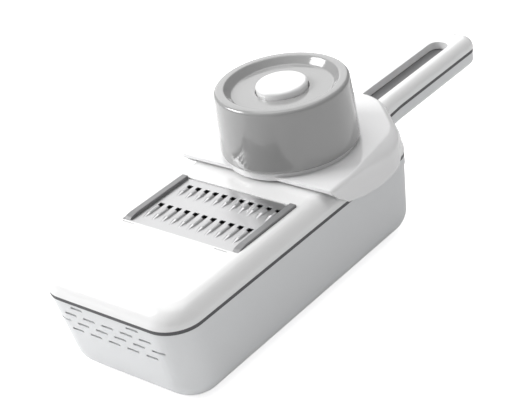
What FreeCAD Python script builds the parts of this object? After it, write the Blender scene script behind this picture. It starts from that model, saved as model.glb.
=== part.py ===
"""Mandoline slicer with a catch tub.

A drain tub with a trough handle carries a slicing board that lifts off.  The board holds a drop-out
grater insert, and a saddle-shaped hand guard slides along it.  The guard's collar guides a pusher
knob, whose button works a stripper disc that pushes the food off the pins.

Millimetres.  The origin is on the tub's resting face, under the middle of the board.
+X is the slicer's right side, +Y runs to the handle, +Z is up.
"""
import FreeCAD, Part
import math
import os

V = FreeCAD.Vector
UP = V(0, 0, 1)

# ---- Driving dimensions -------------------------------------------------------------------------
# Board, body and handle outline
BOARD_LENGTH = 228.0
BOARD_WIDTH = 111.0
CORNER_RADIUS = 20.0
HANDLE_REACH = 137.0
HANDLE_WIDTH = 32.5
HANDLE_ROOT_WIDTH = 40.0
HANDLE_TAPER = 40.0
HANDLE_END_RADIUS = 10.0
ROOT_FILLET = 7.9
CORNER_SHARE = 0.73
ROOT_SHARE = 0.24
FLARE_RADIUS = 60.0

# Heights
TUB_HEIGHT = 54.0
SEAL_THICKNESS = 2.4
BOARD_THICKNESS = 11.5
SEAT_GAP = 0.1

# Tub
TUB_WALL = 2.4
TUB_INSET = 0.6
SIDE_DRAFT = 3.2
FRONT_DRAFT = 8.8
BACK_DRAFT = 0.8
TUB_BOTTOM_ROUND = 16.0
BASE_CORNER_GROWTH = 1.5
TROUGH_DEPTH = 9.9
TROUGH_ROUND = 4.5
SEAL_INSET = 0.3
SEAL_WIDTH = 3.8

# Drain slots in the front wall: staggered rows, listed by the columns each row has
SLOT_LENGTH = 9.2
SLOT_WIDTH = 1.7
SLOT_PITCH = 14.4
SLOT_ROW_PITCH = 5.9
SLOT_ROW_SHIFT = -6.9
SLOT_FIRST_X = -23.4
SLOT_TOP_DROP = 3.2
SLOT_ROWS = ((0, 3), (0, 1, 2, 3, 4), (0, 1, 2, 3, 4, 5), (1, 2, 3, 4, 5))

# Board
BOARD_WALL = 2.2
BOARD_ROUND = 11.0
HANDLE_DROP = 3.6
HANDLE_ROUND = 7.0
HANDLE_ROOT_SINK = 3.0
ROOT_EDGE = 2.0
GRIP_SLOT_START = 16.0
GRIP_SLOT_LENGTH = 101.0
GRIP_SLOT_WIDTH = 14.8
GRIP_SLOT_END_WIDTH = 14.0
GRIP_SLOT_WALL = 1.8
GRIP_FLOOR_DEPTH = 5.5
INLAY_PLATE = 1.8
INLAY_WALL = 1.6
INLAY_SKIRT = 8.0
INLAY_START = 3.0
INLAY_CLEARANCE = 0.3
INLAY_SCREW_INSET = 24.0
HOLLOW_START = 1.0
HOLLOW_CORNER = 2.0
SLOT_END_SHARE = 0.9
SLOT_WALL_GAP = 0.3

# Grater insert
INSERT_LENGTH = 88.7
INSERT_WIDTH = 53.8
INSERT_CENTRE_Y = -19.7
INSERT_CLEARANCE = 0.25
OPENING_CORNER = 0.5
RAIL_WIDTH = 4.8
RAIL_PROUD = 1.4
RAIL_DEPTH = 6.4
RAIL_RAMP = 8.0
PLATE_SHEET = 0.8
PLATE_RECESS = 0.6
PLATE_LIP = 3.2
PLATE_TONGUE = 1.5
TOOTH_WIDTH = 3.8
TOOTH_HEIGHT = 1.3
TOOTH_BORE = 1.15
TOOTH_TIP = 8.0
TOOTH_HOLE = 4.4
TOOTH_PITCH = 6.84
ROW_STAGGER = 2.4
WINDOW_LENGTH = 3.0
# Each row of teeth: shift along X, tip and hole measured from the insert's front edge
TOOTH_ROWS = ((0.0, 4.0, 22.2), (ROW_STAGGER, 31.2, 45.6))
CLIP_SHARES = (-0.857, 0.755)
CLIP_WIDTH = 9.5
CLIP_SLIT = 0.6
CLIP_LEDGE = 1.3
CLIP_SIDE_GAP = 0.8
CLIP_FOOT = 2.0
CLIP_FOOT_HEIGHT = 1.2
CLIP_LEAF = 1.0
CLIP_LEAF_HEIGHT = 3.4
RAIL_EDGE_ROUND = 0.6

# Frame under the board
FRAME_CLEARANCE = 0.7
FRAME_WALL = 1.8
FRAME_PLUG = 3.0
FRAME_BAR = 2.2
FRAME_BAR_DEPTH = 5.5
BOSS_RADIUS = 3.4
BOSS_INSET = 11.8
SCREW_RADIUS = 1.5
SCREW_HEAD_RADIUS = 2.8
SCREW_HEAD = 1.6
HEAD_CLEARANCE = 0.2
END_SCREW_INSET = 28.0
MIDDLE_SCREW_GAP = 13.0
BOSS_BASE = 4.0
EAR_THICKNESS = 2.0
BAR_GAP = 2.4
BAR_BACK_GAP = 0.3
BAR_SHIFT = 8.0
BAR_END_GAP = 0.5

# Hand guard
GUARD_CLEARANCE = 0.6
GUARD_SHEET = 2.4
GUARD_RISE = 4.5
GUARD_ROUND = 10.0
GUARD_BACK_SHIFT = 19.5
GUARD_FRONT_REACH = 37.5
GUARD_FRONT_ROUND = 2.0
GUARD_SHOULDER = 38.4
GUARD_SHOULDER_ROUND = 35.0
GUARD_TAIL = 87.7
GUARD_TAIL_ROUND = 38.0
GUARD_SKIRT = 16.5
SKIRT_SPARE = 5.0
RUNNER_WIDTH = 1.8
RUNNER_GAP = 0.25
RUNNER_INSET = 0.6
RUNNER_FRONT = 4.0
RUNNER_BACK = 14.0
SKIRT_START = 0.2
SKIRT_END = 24.0
# Lower edge of each skirt: distance behind the guard's front edge, drop below the board's top
SKIRT_FRONT_CURVE = ((7.2, 4.5), (15.2, 10.5), (33.2, 15.0))
# Then distance behind the skirt's back station, drop below the board's top
SKIRT_BACK_CURVE = ((-9.0, 16.5), (6.0, 12.5), (17.0, 4.0))
GROOVE_DEPTH = 0.8
GROOVE_TOP_GAP = 1.0
THROAT_RADIUS = 33.6
PLINTH_RADIUS = 41.0
PLINTH_HEIGHT = 2.7
PLINTH_DEPTH = 2.6
PLINTH_ROUND = 1.0
COLLAR_WALL = 2.0
COLLAR_TOP = 30.5

# Pusher knob
KNOB_Y = 60.8
KNOB_TOP_RADIUS = 41.5
KNOB_BASE_RADIUS = 43.2
KNOB_HEIGHT = 39.8
KNOB_GAP = 0.5
KNOB_WALL = 2.4
KNOB_RIM_ROUND = 3.4
DISH_RADIUS = 35.6
DISH_FLOOR_RADIUS = 29.6
DISH_DEPTH = 4.5
LINER_CLEARANCE = 1.4
LINER_WALL = 1.4
LINER_LIP = 1.0
LINER_LIP_HEIGHT = 2.0
LINER_FLANGE = 1.2
RING_HEIGHT = 2.2
RING_WALL = 1.1
PUSHER_CLEARANCE = 0.8
PUSHER_PLATE = 2.5
PIN_RADIUS = 1.1
PIN_LENGTH = 9.2
PIN_TIP_GAP = 2.0
PIN_POINT = 2.4
PIN_POINT_RADIUS = 0.15
PIN_COVER = 0.6
INNER_PINS = 6
INNER_PIN_CIRCLE = 14.5
OUTER_PINS = 9
OUTER_PIN_EDGE = 4.8
OUTER_PIN_START = 30.0
POST_RADIUS = 3.6
POST_CLEARANCE = 1.1
POST_COUNT = 3
POST_START = 90.0
POST_SCREW_DEPTH = 9.0
POST_SCREW_REACH = 8.0
CEILING_STEP = 1.5
CEILING_INSET = 1.0
LINER_TOP_GAP = 3.0

# Eject button
BUTTON_RADIUS = 16.0
BUTTON_GAP = 0.5
BUTTON_PROUD = 5.0
BUTTON_DOME = 1.1
BUTTON_WALL = 2.0
BUTTON_SKIRT = 9.0
BUTTON_FLANGE = 1.3
BUTTON_FLANGE_REACH = 1.8
FLANGE_CLEARANCE = 0.3
BUTTON_STROKE = 5.0
STEM_RADIUS = 3.0
STEM_CLEARANCE = 0.3
STEM_SOCKET_WALL = 2.0
STEM_SOCKET_DEPTH = 6.0
STEM_NECK_STEP = 0.8
STEM_SCREW_RADIUS = 1.0
STEM_SCREW_REACH = 7.0
STEM_SCREW_HEAD_RADIUS = 3.4
STEM_SCREW_HEAD = 1.2
STRIPPER_SHEET = 1.8
STRIPPER_CLEARANCE = 0.6
STRIPPER_GAP = 0.2
STRIPPER_EDGE = 0.4
COLLAR_CLIP_RADIUS = 6.0
COLLAR_CLIP_HEIGHT = 1.4
SPRING_WIRE = 0.6
SPRING_WIRE_SIDES = 8
SPRING_RADIUS = 4.9
SPRING_TURNS = 6
SPRING_SEAT_GAP = 0.05

# How far a cutting tool runs past the face it cuts
OVER = 1.0
FIT_GAP = 0.5

# ---- Places worked out from the driving dimensions ----------------------------------------------
SEAL_TOP = TUB_HEIGHT + SEAL_THICKNESS
BOARD_BASE = SEAL_TOP + SEAT_GAP
BOARD_TOP = BOARD_BASE + BOARD_THICKNESS
BOARD_CEILING = BOARD_TOP - BOARD_WALL
FRONT_Y = -BOARD_LENGTH / 2
BACK_Y = BOARD_LENGTH / 2
HANDLE_END_Y = BACK_Y + HANDLE_REACH
HANDLE_TOP = BOARD_TOP - HANDLE_DROP
HANDLE_CEILING = HANDLE_TOP - BOARD_WALL
GRIP_FLOOR = HANDLE_TOP - GRIP_FLOOR_DEPTH
TROUGH_BASE = TUB_HEIGHT - TROUGH_DEPTH

INSERT_FRONT_Y = INSERT_CENTRE_Y - INSERT_WIDTH / 2
INSERT_BACK_Y = INSERT_CENTRE_Y + INSERT_WIDTH / 2
TEETH_ROOM = INSERT_LENGTH - 2 * (RAIL_WIDTH + ROW_STAGGER) - TOOTH_WIDTH
TEETH_PER_ROW = 1 + int(TEETH_ROOM / TOOTH_PITCH)
CLIP_CENTRES = [share * INSERT_LENGTH / 2 for share in CLIP_SHARES]
PLATE_TOP = BOARD_TOP - PLATE_RECESS
TEETH_TOP = PLATE_TOP + TOOTH_HEIGHT

GUARD_TOP = BOARD_TOP + GUARD_RISE
GUARD_UNDER = GUARD_TOP - GUARD_SHEET
PLINTH_TOP = GUARD_TOP + PLINTH_HEIGHT
KNOB_BASE = PLINTH_TOP + KNOB_GAP
KNOB_TOP = KNOB_BASE + KNOB_HEIGHT
DISH_FLOOR = KNOB_TOP - DISH_DEPTH
KNOB_CEILING = DISH_FLOOR - KNOB_WALL
GUARD_FRONT_Y = KNOB_Y - GUARD_FRONT_REACH
GUARD_TAIL_Y = KNOB_Y + GUARD_TAIL
GUARD_HALF = BOARD_WIDTH / 2 + GUARD_CLEARANCE + GUARD_SHEET
COLLAR_RADIUS = THROAT_RADIUS + COLLAR_WALL
COLLAR_TOP_Z = GUARD_TOP + COLLAR_TOP
LINER_BORE = COLLAR_RADIUS + LINER_CLEARANCE
LINER_RADIUS = LINER_BORE + LINER_WALL

PIN_TIP_Z = TEETH_TOP + PIN_TIP_GAP
PUSHER_BASE = PIN_TIP_Z + PIN_LENGTH
PUSHER_TOP = PUSHER_BASE + PUSHER_PLATE
PUSHER_RADIUS = THROAT_RADIUS - PUSHER_CLEARANCE
OUTER_PIN_CIRCLE = PUSHER_RADIUS - OUTER_PIN_EDGE
PIN_CIRCLES = ((INNER_PINS, INNER_PIN_CIRCLE, 0.0), (OUTER_PINS, OUTER_PIN_CIRCLE, OUTER_PIN_START))
STRIPPER_TOP = PUSHER_BASE - STRIPPER_GAP
STRIPPER_BASE = STRIPPER_TOP - STRIPPER_SHEET
BUTTON_TOP = DISH_FLOOR + BUTTON_PROUD
POST_CIRCLE = BUTTON_RADIUS + BUTTON_FLANGE_REACH + POST_RADIUS + POST_CLEARANCE
FLANGE_TOP = KNOB_CEILING - FLANGE_CLEARANCE
FLANGE_BASE = FLANGE_TOP - BUTTON_FLANGE
STEM_TOP = BUTTON_TOP - BUTTON_DOME - BUTTON_WALL
STEM_CLIP_Z = FLANGE_BASE - BUTTON_STROKE
KNOB_AXIS = V(0, KNOB_Y, 0)


# ---- Shape helpers ------------------------------------------------------------------------------
def rounded_wire(corners, z):
    """Closed level wire through (x, y, radius) corners, each rounded by its own radius."""
    count = len(corners)
    points = [V(x, y, z) for x, y, _ in corners]
    arcs = []
    for i, point in enumerate(points):
        radius = corners[i][2]
        back = (points[i - 1] - point).normalize()
        ahead = (points[(i + 1) % count] - point).normalize()
        half = back.getAngle(ahead) / 2
        run = radius / math.tan(half)
        middle = (back + ahead).normalize()
        crown = point + middle * (radius / math.sin(half) - radius)
        arcs.append((point + back * run, crown, point + ahead * run, radius))
    edges = []
    for i, (start, crown, end, radius) in enumerate(arcs):
        if radius > 0:
            edges.append(Part.Arc(start, crown, end).toShape())
        following = arcs[(i + 1) % count][0]
        if (following - end).Length > 1e-6:
            edges.append(Part.makeLine(end, following))
    return Part.Wire(edges)


def slab(corners, base, top):
    """Upright solid with a rounded outline."""
    return Part.Face(rounded_wire(corners, base)).extrude(UP * (top - base))


def tapered(low_corners, base, high_corners, top):
    """Solid whose outline changes evenly from base to top."""
    wires = [rounded_wire(low_corners, base), rounded_wire(high_corners, top)]
    return Part.makeLoft(wires, True, True)


def box_between(low, high):
    """Box between two corners."""
    size = [h - l for l, h in zip(low, high)]
    return Part.makeBox(*size, V(*low))


def rod(radius, x, y, base, top):
    """Upright cylinder."""
    return Part.makeCylinder(radius, top - base, V(x, y, base))


def tube(outer, inner, x, y, base, top):
    """Upright tube."""
    return rod(outer, x, y, base, top).cut(rod(inner, x, y, base - OVER, top + OVER))


def turned(profile, axis):
    """Solid turned from a closed (radius, z) outline about an upright axis."""
    points = [V(axis.x + r, axis.y, z) for r, z in profile]
    face = Part.Face(Part.makePolygon(points + points[:1]))
    return face.revolve(axis, UP, 360)


def joined(shapes):
    """One solid from touching shapes."""
    whole = shapes[0].multiFuse(shapes[1:])
    return whole.removeSplitter()


def level_edges(shape, z):
    """Edges that lie wholly at one height."""
    return [e for e in shape.Edges if all(abs(v.Z - z) < 1e-4 for v in e.Vertexes)
            and abs(e.BoundBox.ZMin - z) < 1e-3 and abs(e.BoundBox.ZMax - z) < 1e-3]


def around(count, radius, start, axis):
    """Evenly spaced (x, y) places on a circle."""
    turn = [math.radians(start + 360.0 * i / count) for i in range(count)]
    return [(axis.x + radius * math.cos(a), axis.y + radius * math.sin(a)) for a in turn]


# ---- Outlines -----------------------------------------------------------------------------------
def corner_round():
    """Plan radius of the body's corners, limited by the room beside the handle."""
    return min(CORNER_RADIUS, CORNER_SHARE * (BOARD_WIDTH - HANDLE_ROOT_WIDTH) / 2)


def root_round():
    """Plan radius where the handle meets the body, limited the same way."""
    return min(ROOT_FILLET, ROOT_SHARE * (BOARD_WIDTH - HANDLE_ROOT_WIDTH) / 2)


def body_corners(inset):
    """Outline of the board without its handle, drawn in by inset."""
    half = BOARD_WIDTH / 2 - inset
    front = FRONT_Y + inset
    back = BACK_Y - inset
    corner = corner_round() - inset
    return [(half, front, corner), (half, back, corner), (-half, back, corner), (-half, front, corner)]


def lid_corners(inset):
    """Outline of the board with its handle, drawn in by inset."""
    half = BOARD_WIDTH / 2 - inset
    front = FRONT_Y + inset
    back = BACK_Y - inset
    corner = corner_round() - inset
    root = HANDLE_ROOT_WIDTH / 2 - inset
    grip = HANDLE_WIDTH / 2 - inset
    taper_end = BACK_Y + HANDLE_TAPER
    end = HANDLE_END_Y - inset
    right = [(half, front, corner), (half, back, corner), (root, back, root_round() + inset),
             (grip, taper_end, FLARE_RADIUS), (grip, end, HANDLE_END_RADIUS - inset)]
    left = [(-x, y, r) for x, y, r in reversed(right)]
    return right + left


def tub_corners(height, wall):
    """Outline of the tub at a height, drawn in by a wall; the sides lean in towards the base."""
    lean = 1 - height / TUB_HEIGHT
    half = BOARD_WIDTH / 2 - TUB_INSET - wall - SIDE_DRAFT * lean
    front = FRONT_Y + TUB_INSET + wall + FRONT_DRAFT * lean
    back = BACK_Y - TUB_INSET - wall - BACK_DRAFT * lean
    corner = corner_round() - TUB_INSET - wall + BASE_CORNER_GROWTH * lean
    return [(half, front, corner), (half, back, corner), (-half, back, corner), (-half, front, corner)]


def handle_corners(inset, start):
    """Outline of the handle alone, from a start line on its taper."""
    reach = (start - BACK_Y + inset) / (HANDLE_TAPER + inset)
    near = (HANDLE_ROOT_WIDTH + (HANDLE_WIDTH - HANDLE_ROOT_WIDTH) * reach) / 2 - inset
    grip = HANDLE_WIDTH / 2 - inset
    end = HANDLE_END_Y - inset
    right = [(near, start, HOLLOW_CORNER), (grip, BACK_Y + HANDLE_TAPER, FLARE_RADIUS),
             (grip, end, HANDLE_END_RADIUS - inset)]
    return right + [(-x, y, r) for x, y, r in reversed(right)]


def handle_top_corners(inset):
    """Outline of the handle's upper part, which starts inside the board and flares at its root."""
    start = BACK_Y - BOARD_ROUND
    root = HANDLE_ROOT_WIDTH / 2 - inset
    flare = root + root_round() + inset + ROOT_EDGE
    grip = HANDLE_WIDTH / 2 - inset
    end = HANDLE_END_Y - inset
    back = BACK_Y - inset - HANDLE_ROOT_SINK
    right = [(flare, start, 0.0), (flare, back, 0.0), (root, back, root_round() + inset),
             (grip, BACK_Y + HANDLE_TAPER, FLARE_RADIUS), (grip, end, HANDLE_END_RADIUS - inset)]
    return right + [(-x, y, r) for x, y, r in reversed(right)]


def grip_slot_corners(grow):
    """Outline of the long slot in the handle, grown by a wall."""
    start = BACK_Y + GRIP_SLOT_START - grow
    end = BACK_Y + GRIP_SLOT_START + GRIP_SLOT_LENGTH + grow
    near = GRIP_SLOT_WIDTH / 2 + grow
    far = GRIP_SLOT_END_WIDTH / 2 + grow
    return [(near, start, near * SLOT_END_SHARE), (far, end, far * SLOT_END_SHARE),
            (-far, end, far * SLOT_END_SHARE), (-near, start, near * SLOT_END_SHARE)]


def insert_corners(grow, radius):
    """Outline of the insert, grown by a clearance."""
    half = INSERT_LENGTH / 2 + grow
    return [(half, INSERT_FRONT_Y - grow, radius), (half, INSERT_BACK_Y + grow, radius),
            (-half, INSERT_BACK_Y + grow, radius), (-half, INSERT_FRONT_Y - grow, radius)]


# ---- Tub ----------------------------------------------------------------------------------------
def inlay_screw_places():
    """Screws that hold the handle inlay."""
    return [(0.0, BACK_Y + HANDLE_TAPER), (0.0, HANDLE_END_Y - INLAY_SCREW_INSET)]


def drain_slot_cutter():
    """Round-ended slots through the front wall."""
    half = (SLOT_LENGTH - SLOT_WIDTH) / 2
    reach = FRONT_DRAFT + TUB_WALL + TUB_BOTTOM_ROUND + TUB_WALL
    cutters = []
    for row, columns in enumerate(SLOT_ROWS):
        z = TUB_HEIGHT - SLOT_TOP_DROP - SLOT_ROW_PITCH * row
        for column in columns:
            x = SLOT_FIRST_X + SLOT_PITCH * column + SLOT_ROW_SHIFT * row
            body = box_between((x - half, FRONT_Y - OVER, z - SLOT_WIDTH / 2),
                               (x + half, FRONT_Y + reach, z + SLOT_WIDTH / 2))
            ends = [Part.makeCylinder(SLOT_WIDTH / 2, reach + OVER, V(x + side * half, FRONT_Y - OVER, z),
                                      V(0, 1, 0)) for side in (-1, 1)]
            cutters.append(body.fuse(ends))
    return Part.makeCompound(cutters)


def make_drain_tub():
    outer = tapered(tub_corners(0, 0), 0, tub_corners(TUB_HEIGHT, 0), TUB_HEIGHT)
    outer = outer.makeFillet(TUB_BOTTOM_ROUND, level_edges(outer, 0))
    over = TUB_HEIGHT + OVER
    inner = tapered(tub_corners(TUB_WALL, TUB_WALL), TUB_WALL, tub_corners(over, TUB_WALL), over)
    inner = inner.makeFillet(TUB_BOTTOM_ROUND - TUB_WALL, level_edges(inner, TUB_WALL))

    keep = box_between((-BOARD_WIDTH, BACK_Y - ROOT_FILLET - HOLLOW_CORNER, 0),
                       (BOARD_WIDTH, HANDLE_END_Y + OVER, TUB_HEIGHT))
    trough = slab(lid_corners(TUB_INSET), TROUGH_BASE, TUB_HEIGHT)
    trough = trough.makeFillet(TROUGH_ROUND, level_edges(trough, TROUGH_BASE)).common(keep)
    hollow = slab(handle_corners(TUB_INSET + TUB_WALL, BACK_Y + HOLLOW_START), TROUGH_BASE + TUB_WALL, over)

    tub = outer.fuse(trough).cut(inner).cut(hollow)
    boss_top = GRIP_FLOOR - INLAY_PLATE
    bosses = [rod(BOSS_RADIUS, x, y, TROUGH_BASE + TUB_WALL / 2, boss_top) for x, y in inlay_screw_places()]
    tub = joined([tub] + bosses)
    for x, y in inlay_screw_places():
        tub = tub.cut(rod(SCREW_RADIUS, x, y, TROUGH_BASE - OVER, boss_top + OVER))
        head = rod(SCREW_HEAD_RADIUS + HEAD_CLEARANCE, x, y, TROUGH_BASE - OVER, TROUGH_BASE + SCREW_HEAD)
        tub = tub.cut(head)
    return tub.cut(drain_slot_cutter())


def make_rim_seal():
    outer = slab(lid_corners(SEAL_INSET), TUB_HEIGHT, SEAL_TOP)
    return outer.cut(slab(lid_corners(SEAL_INSET + SEAL_WIDTH), TUB_HEIGHT - OVER, SEAL_TOP + OVER))


def make_handle_inlay():
    inset = SEAL_INSET + SEAL_WIDTH + INLAY_CLEARANCE
    start = BACK_Y + INLAY_START
    base = GRIP_FLOOR - INLAY_SKIRT
    outer = slab(handle_corners(inset, start), base, GRIP_FLOOR)
    inner = handle_corners(inset + INLAY_WALL, start + INLAY_WALL)
    hollow = slab(inner, base - OVER, GRIP_FLOOR - INLAY_PLATE)
    inlay = outer.cut(hollow)
    for x, y in inlay_screw_places():
        inlay = inlay.cut(rod(SCREW_RADIUS, x, y, base, GRIP_FLOOR - INLAY_PLATE / 2))
    return inlay


def make_inlay_screws():
    top = GRIP_FLOOR - INLAY_PLATE / 2
    screws = []
    for x, y in inlay_screw_places():
        shank = rod(SCREW_RADIUS, x, y, TROUGH_BASE + SCREW_HEAD / 2, top)
        screws.append(shank.fuse(rod(SCREW_HEAD_RADIUS, x, y, TROUGH_BASE, TROUGH_BASE + SCREW_HEAD)))
    return Part.makeCompound(screws)


# ---- Board --------------------------------------------------------------------------------------
def frame_screw_places():
    """Screws that hold the frame under the board, clear of the insert's opening."""
    x = BOARD_WIDTH / 2 - BOSS_INSET
    rows = (FRONT_Y + END_SCREW_INSET, INSERT_BACK_Y + MIDDLE_SCREW_GAP, BACK_Y - END_SCREW_INSET)
    return [(side * x, y) for side in (-1, 1) for y in rows]


def board_blocks(inset, base):
    """Board and its lower handle as solid blocks, drawn in by inset, upper edges rounded."""
    body = slab(body_corners(inset), base, BOARD_TOP - inset)
    body = body.makeFillet(BOARD_ROUND - inset, level_edges(body, BOARD_TOP - inset))
    handle = slab(handle_top_corners(inset), base, HANDLE_TOP - inset)
    start = BACK_Y - BOARD_ROUND
    edges = [e for e in level_edges(handle, HANDLE_TOP - inset) if e.BoundBox.YMax > start + 1e-3]
    handle = handle.makeFillet(HANDLE_ROUND - inset, edges)
    return body, handle


def make_slicer_board():
    body, handle = board_blocks(0, BOARD_BASE)
    outer = body.fuse(handle)
    board = outer.cut(board_blocks(BOARD_WALL, BOARD_BASE - OVER))

    wall_base = GRIP_FLOOR + SLOT_WALL_GAP
    slot_wall = slab(grip_slot_corners(GRIP_SLOT_WALL), wall_base, HANDLE_CEILING + BOARD_WALL / 2)
    screws = frame_screw_places()
    boss_top = BOARD_CEILING + BOARD_WALL / 2
    bosses = [rod(BOSS_RADIUS, x, y, BOARD_BASE + BOSS_BASE, boss_top) for x, y in screws]
    board = joined([board, slot_wall.common(outer)] + bosses)
    board = board.cut(slab(grip_slot_corners(0), BOARD_BASE - OVER, BOARD_TOP + OVER))
    board = board.cut(slab(insert_corners(INSERT_CLEARANCE, OPENING_CORNER), BOARD_BASE, BOARD_TOP + OVER))
    for x, y in screws:
        board = board.cut(rod(SCREW_RADIUS, x, y, BOARD_BASE, BOARD_CEILING))
    slit_y = INSERT_FRONT_Y - INSERT_CLEARANCE - CLIP_LEDGE
    for x in CLIP_CENTRES:
        slit = box_between((x - CLIP_WIDTH / 2, slit_y - CLIP_SLIT, BOARD_CEILING - OVER),
                           (x + CLIP_WIDTH / 2, slit_y, BOARD_TOP + OVER))
        board = board.cut(slit)
    return board


def make_board_frame():
    """Skirt that plugs into the tub, with cross bars either side of the insert."""
    inset = SEAL_INSET + SEAL_WIDTH + FRAME_CLEARANCE
    base = TUB_HEIGHT - FRAME_PLUG
    half = BOARD_WIDTH / 2 - inset
    skirt = slab(body_corners(inset), base, BOARD_CEILING)
    skirt = skirt.cut(slab(body_corners(inset + FRAME_WALL), base - OVER, BOARD_CEILING + OVER))
    top = slab(body_corners(BOARD_WALL), BOARD_BASE - BOSS_BASE, BOARD_CEILING)
    top = top.makeFillet(BOARD_ROUND - BOARD_WALL, level_edges(top, BOARD_CEILING))
    low = BOARD_CEILING - FRAME_BAR_DEPTH
    gap = INSERT_CLEARANCE + CLIP_LEDGE + CLIP_SLIT + BAR_GAP
    bars = [INSERT_FRONT_Y - gap - FRAME_BAR, INSERT_BACK_Y + INSERT_CLEARANCE + BAR_BACK_GAP,
            (FRONT_Y + INSERT_FRONT_Y) / 2, (BACK_Y + INSERT_BACK_Y) / 2 + BAR_SHIFT]
    pieces = [skirt]
    reach = half - BAR_END_GAP
    for y in bars:
        pieces.append(box_between((-reach, y, low), (reach, y + FRAME_BAR, BOARD_CEILING)))
    ear_top = BOARD_BASE + BOSS_BASE
    ear_base = ear_top - EAR_THICKNESS
    for x, y in frame_screw_places():
        near, far = sorted((x, math.copysign(half - FRAME_WALL / 2, x)))
        arm = box_between((near, y - BOSS_RADIUS, ear_base), (far, y + BOSS_RADIUS, ear_top))
        pieces.append(arm.fuse(rod(BOSS_RADIUS, x, y, ear_base, ear_top)))
    plug = slab(body_corners(inset - HEAD_CLEARANCE), base - OVER, BOARD_BASE)
    frame = joined(pieces).common(top.fuse(plug))
    for x, y in frame_screw_places():
        frame = frame.cut(rod(SCREW_RADIUS, x, y, ear_base - OVER, ear_top + OVER))
    return frame


def make_frame_screws():
    ear_base = BOARD_BASE + BOSS_BASE - EAR_THICKNESS
    screws = []
    for x, y in frame_screw_places():
        shank = rod(SCREW_RADIUS, x, y, ear_base - SCREW_HEAD / 2, BOARD_CEILING - FIT_GAP)
        screws.append(shank.fuse(rod(SCREW_HEAD_RADIUS, x, y, ear_base - SCREW_HEAD, ear_base)))
    return Part.makeCompound(screws)


def make_insert_clips():
    """Two spring tongues under the slits, bearing on the insert's front edge."""
    clips = []
    back = INSERT_FRONT_Y - INSERT_CLEARANCE
    for x in CLIP_CENTRES:
        half = CLIP_WIDTH / 2 - CLIP_SIDE_GAP
        foot_base = BOARD_CEILING - CLIP_FOOT_HEIGHT
        foot = box_between((x - half, back - CLIP_LEDGE - CLIP_SLIT - CLIP_FOOT, foot_base),
                           (x + half, back, BOARD_CEILING))
        leaf = box_between((x - half, back - CLIP_LEAF, foot_base - CLIP_LEAF_HEIGHT),
                           (x + half, back, foot_base))
        clips.append(foot.fuse(leaf).removeSplitter())
    return Part.makeCompound(clips)


# ---- Grater insert ------------------------------------------------------------------------------
def make_grater_plate():
    half = INSERT_LENGTH / 2 - RAIL_WIDTH + PLATE_TONGUE
    inner = INSERT_LENGTH / 2 - RAIL_WIDTH
    base = PLATE_TOP - PLATE_SHEET
    plate = box_between((-half, INSERT_FRONT_Y, base), (half, INSERT_BACK_Y, PLATE_TOP))
    for y in (INSERT_FRONT_Y, INSERT_BACK_Y - PLATE_SHEET):
        lip = box_between((-inner, y, PLATE_TOP - PLATE_LIP), (inner, y + PLATE_SHEET, PLATE_TOP))
        plate = plate.fuse(lip)
    radius = TOOTH_WIDTH / 2
    axis_z = TEETH_TOP - radius
    first = -TOOTH_PITCH * (TEETH_PER_ROW - 1) / 2
    teeth = []
    holes = []
    for shift, tip, hole in TOOTH_ROWS:
        tip_y = INSERT_FRONT_Y + tip
        shoulder = tip_y + TOOTH_TIP
        mouth = INSERT_FRONT_Y + hole - TOOTH_HOLE / 2
        cone = Part.makeCone(0, radius, TOOTH_TIP, V(0, tip_y, axis_z), V(0, 1, 0))
        barrel = Part.makeCylinder(radius, mouth - shoulder, V(0, shoulder, axis_z), V(0, 1, 0))
        above = box_between((-radius, tip_y, PLATE_TOP - PLATE_SHEET / 2), (radius, mouth, TEETH_TOP + OVER))
        tooth = cone.fuse(barrel).common(above)
        bore = Part.makeCylinder(TOOTH_BORE, mouth - shoulder, V(0, shoulder, axis_z), V(0, 1, 0))
        window = box_between((-TOOTH_BORE, mouth - WINDOW_LENGTH, base - OVER),
                             (TOOTH_BORE, mouth, PLATE_TOP))
        opening = box_between((-radius, mouth, base - OVER), (radius, mouth + TOOTH_HOLE, PLATE_TOP + OVER))
        for i in range(TEETH_PER_ROW):
            place = V(first + TOOTH_PITCH * i + shift, 0, 0)
            teeth.append(tooth.translated(place))
            holes.extend([bore.translated(place), window.translated(place), opening.translated(place)])
    return joined([plate] + teeth).cut(holes)


def make_insert_rail(side):
    """End rail of the insert: its top ramps down at the front."""
    outer = INSERT_LENGTH / 2
    top = BOARD_TOP + RAIL_PROUD
    base = top - RAIL_DEPTH
    front = INSERT_FRONT_Y
    back = INSERT_BACK_Y
    x = side * outer if side < 0 else outer - RAIL_WIDTH
    points = [V(x, front, base), V(x, back, base), V(x, back, top), V(x, front + RAIL_RAMP, top),
              V(x, front + RAIL_RAMP / 3, top - RAIL_PROUD * 0.6), V(x, front, top - RAIL_PROUD * 1.8)]
    rail = Part.Face(Part.makePolygon(points + points[:1])).extrude(V(RAIL_WIDTH, 0, 0))
    inner = outer - RAIL_WIDTH + PLATE_TONGUE
    groove = box_between((-inner, front, PLATE_TOP - PLATE_SHEET), (inner, back, PLATE_TOP))
    edges = [e for e in level_edges(rail, top) if e.BoundBox.YLength > RAIL_WIDTH]
    return rail.makeFillet(RAIL_EDGE_ROUND, edges).cut(groove)


# ---- Hand guard ---------------------------------------------------------------------------------
def guard_plan(base, top):
    """Upright solid over the guard's outline: straight front and sides, egg-shaped tail."""
    right = [(GUARD_HALF, GUARD_FRONT_Y, GUARD_FRONT_ROUND),
             (GUARD_HALF, KNOB_Y + GUARD_SHOULDER, GUARD_SHOULDER_ROUND)]
    left = [(-x, y, r) for x, y, r in reversed(right)]
    return slab(right + [(0.0, GUARD_TAIL_Y, GUARD_TAIL_ROUND)] + left, base, top)


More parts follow.
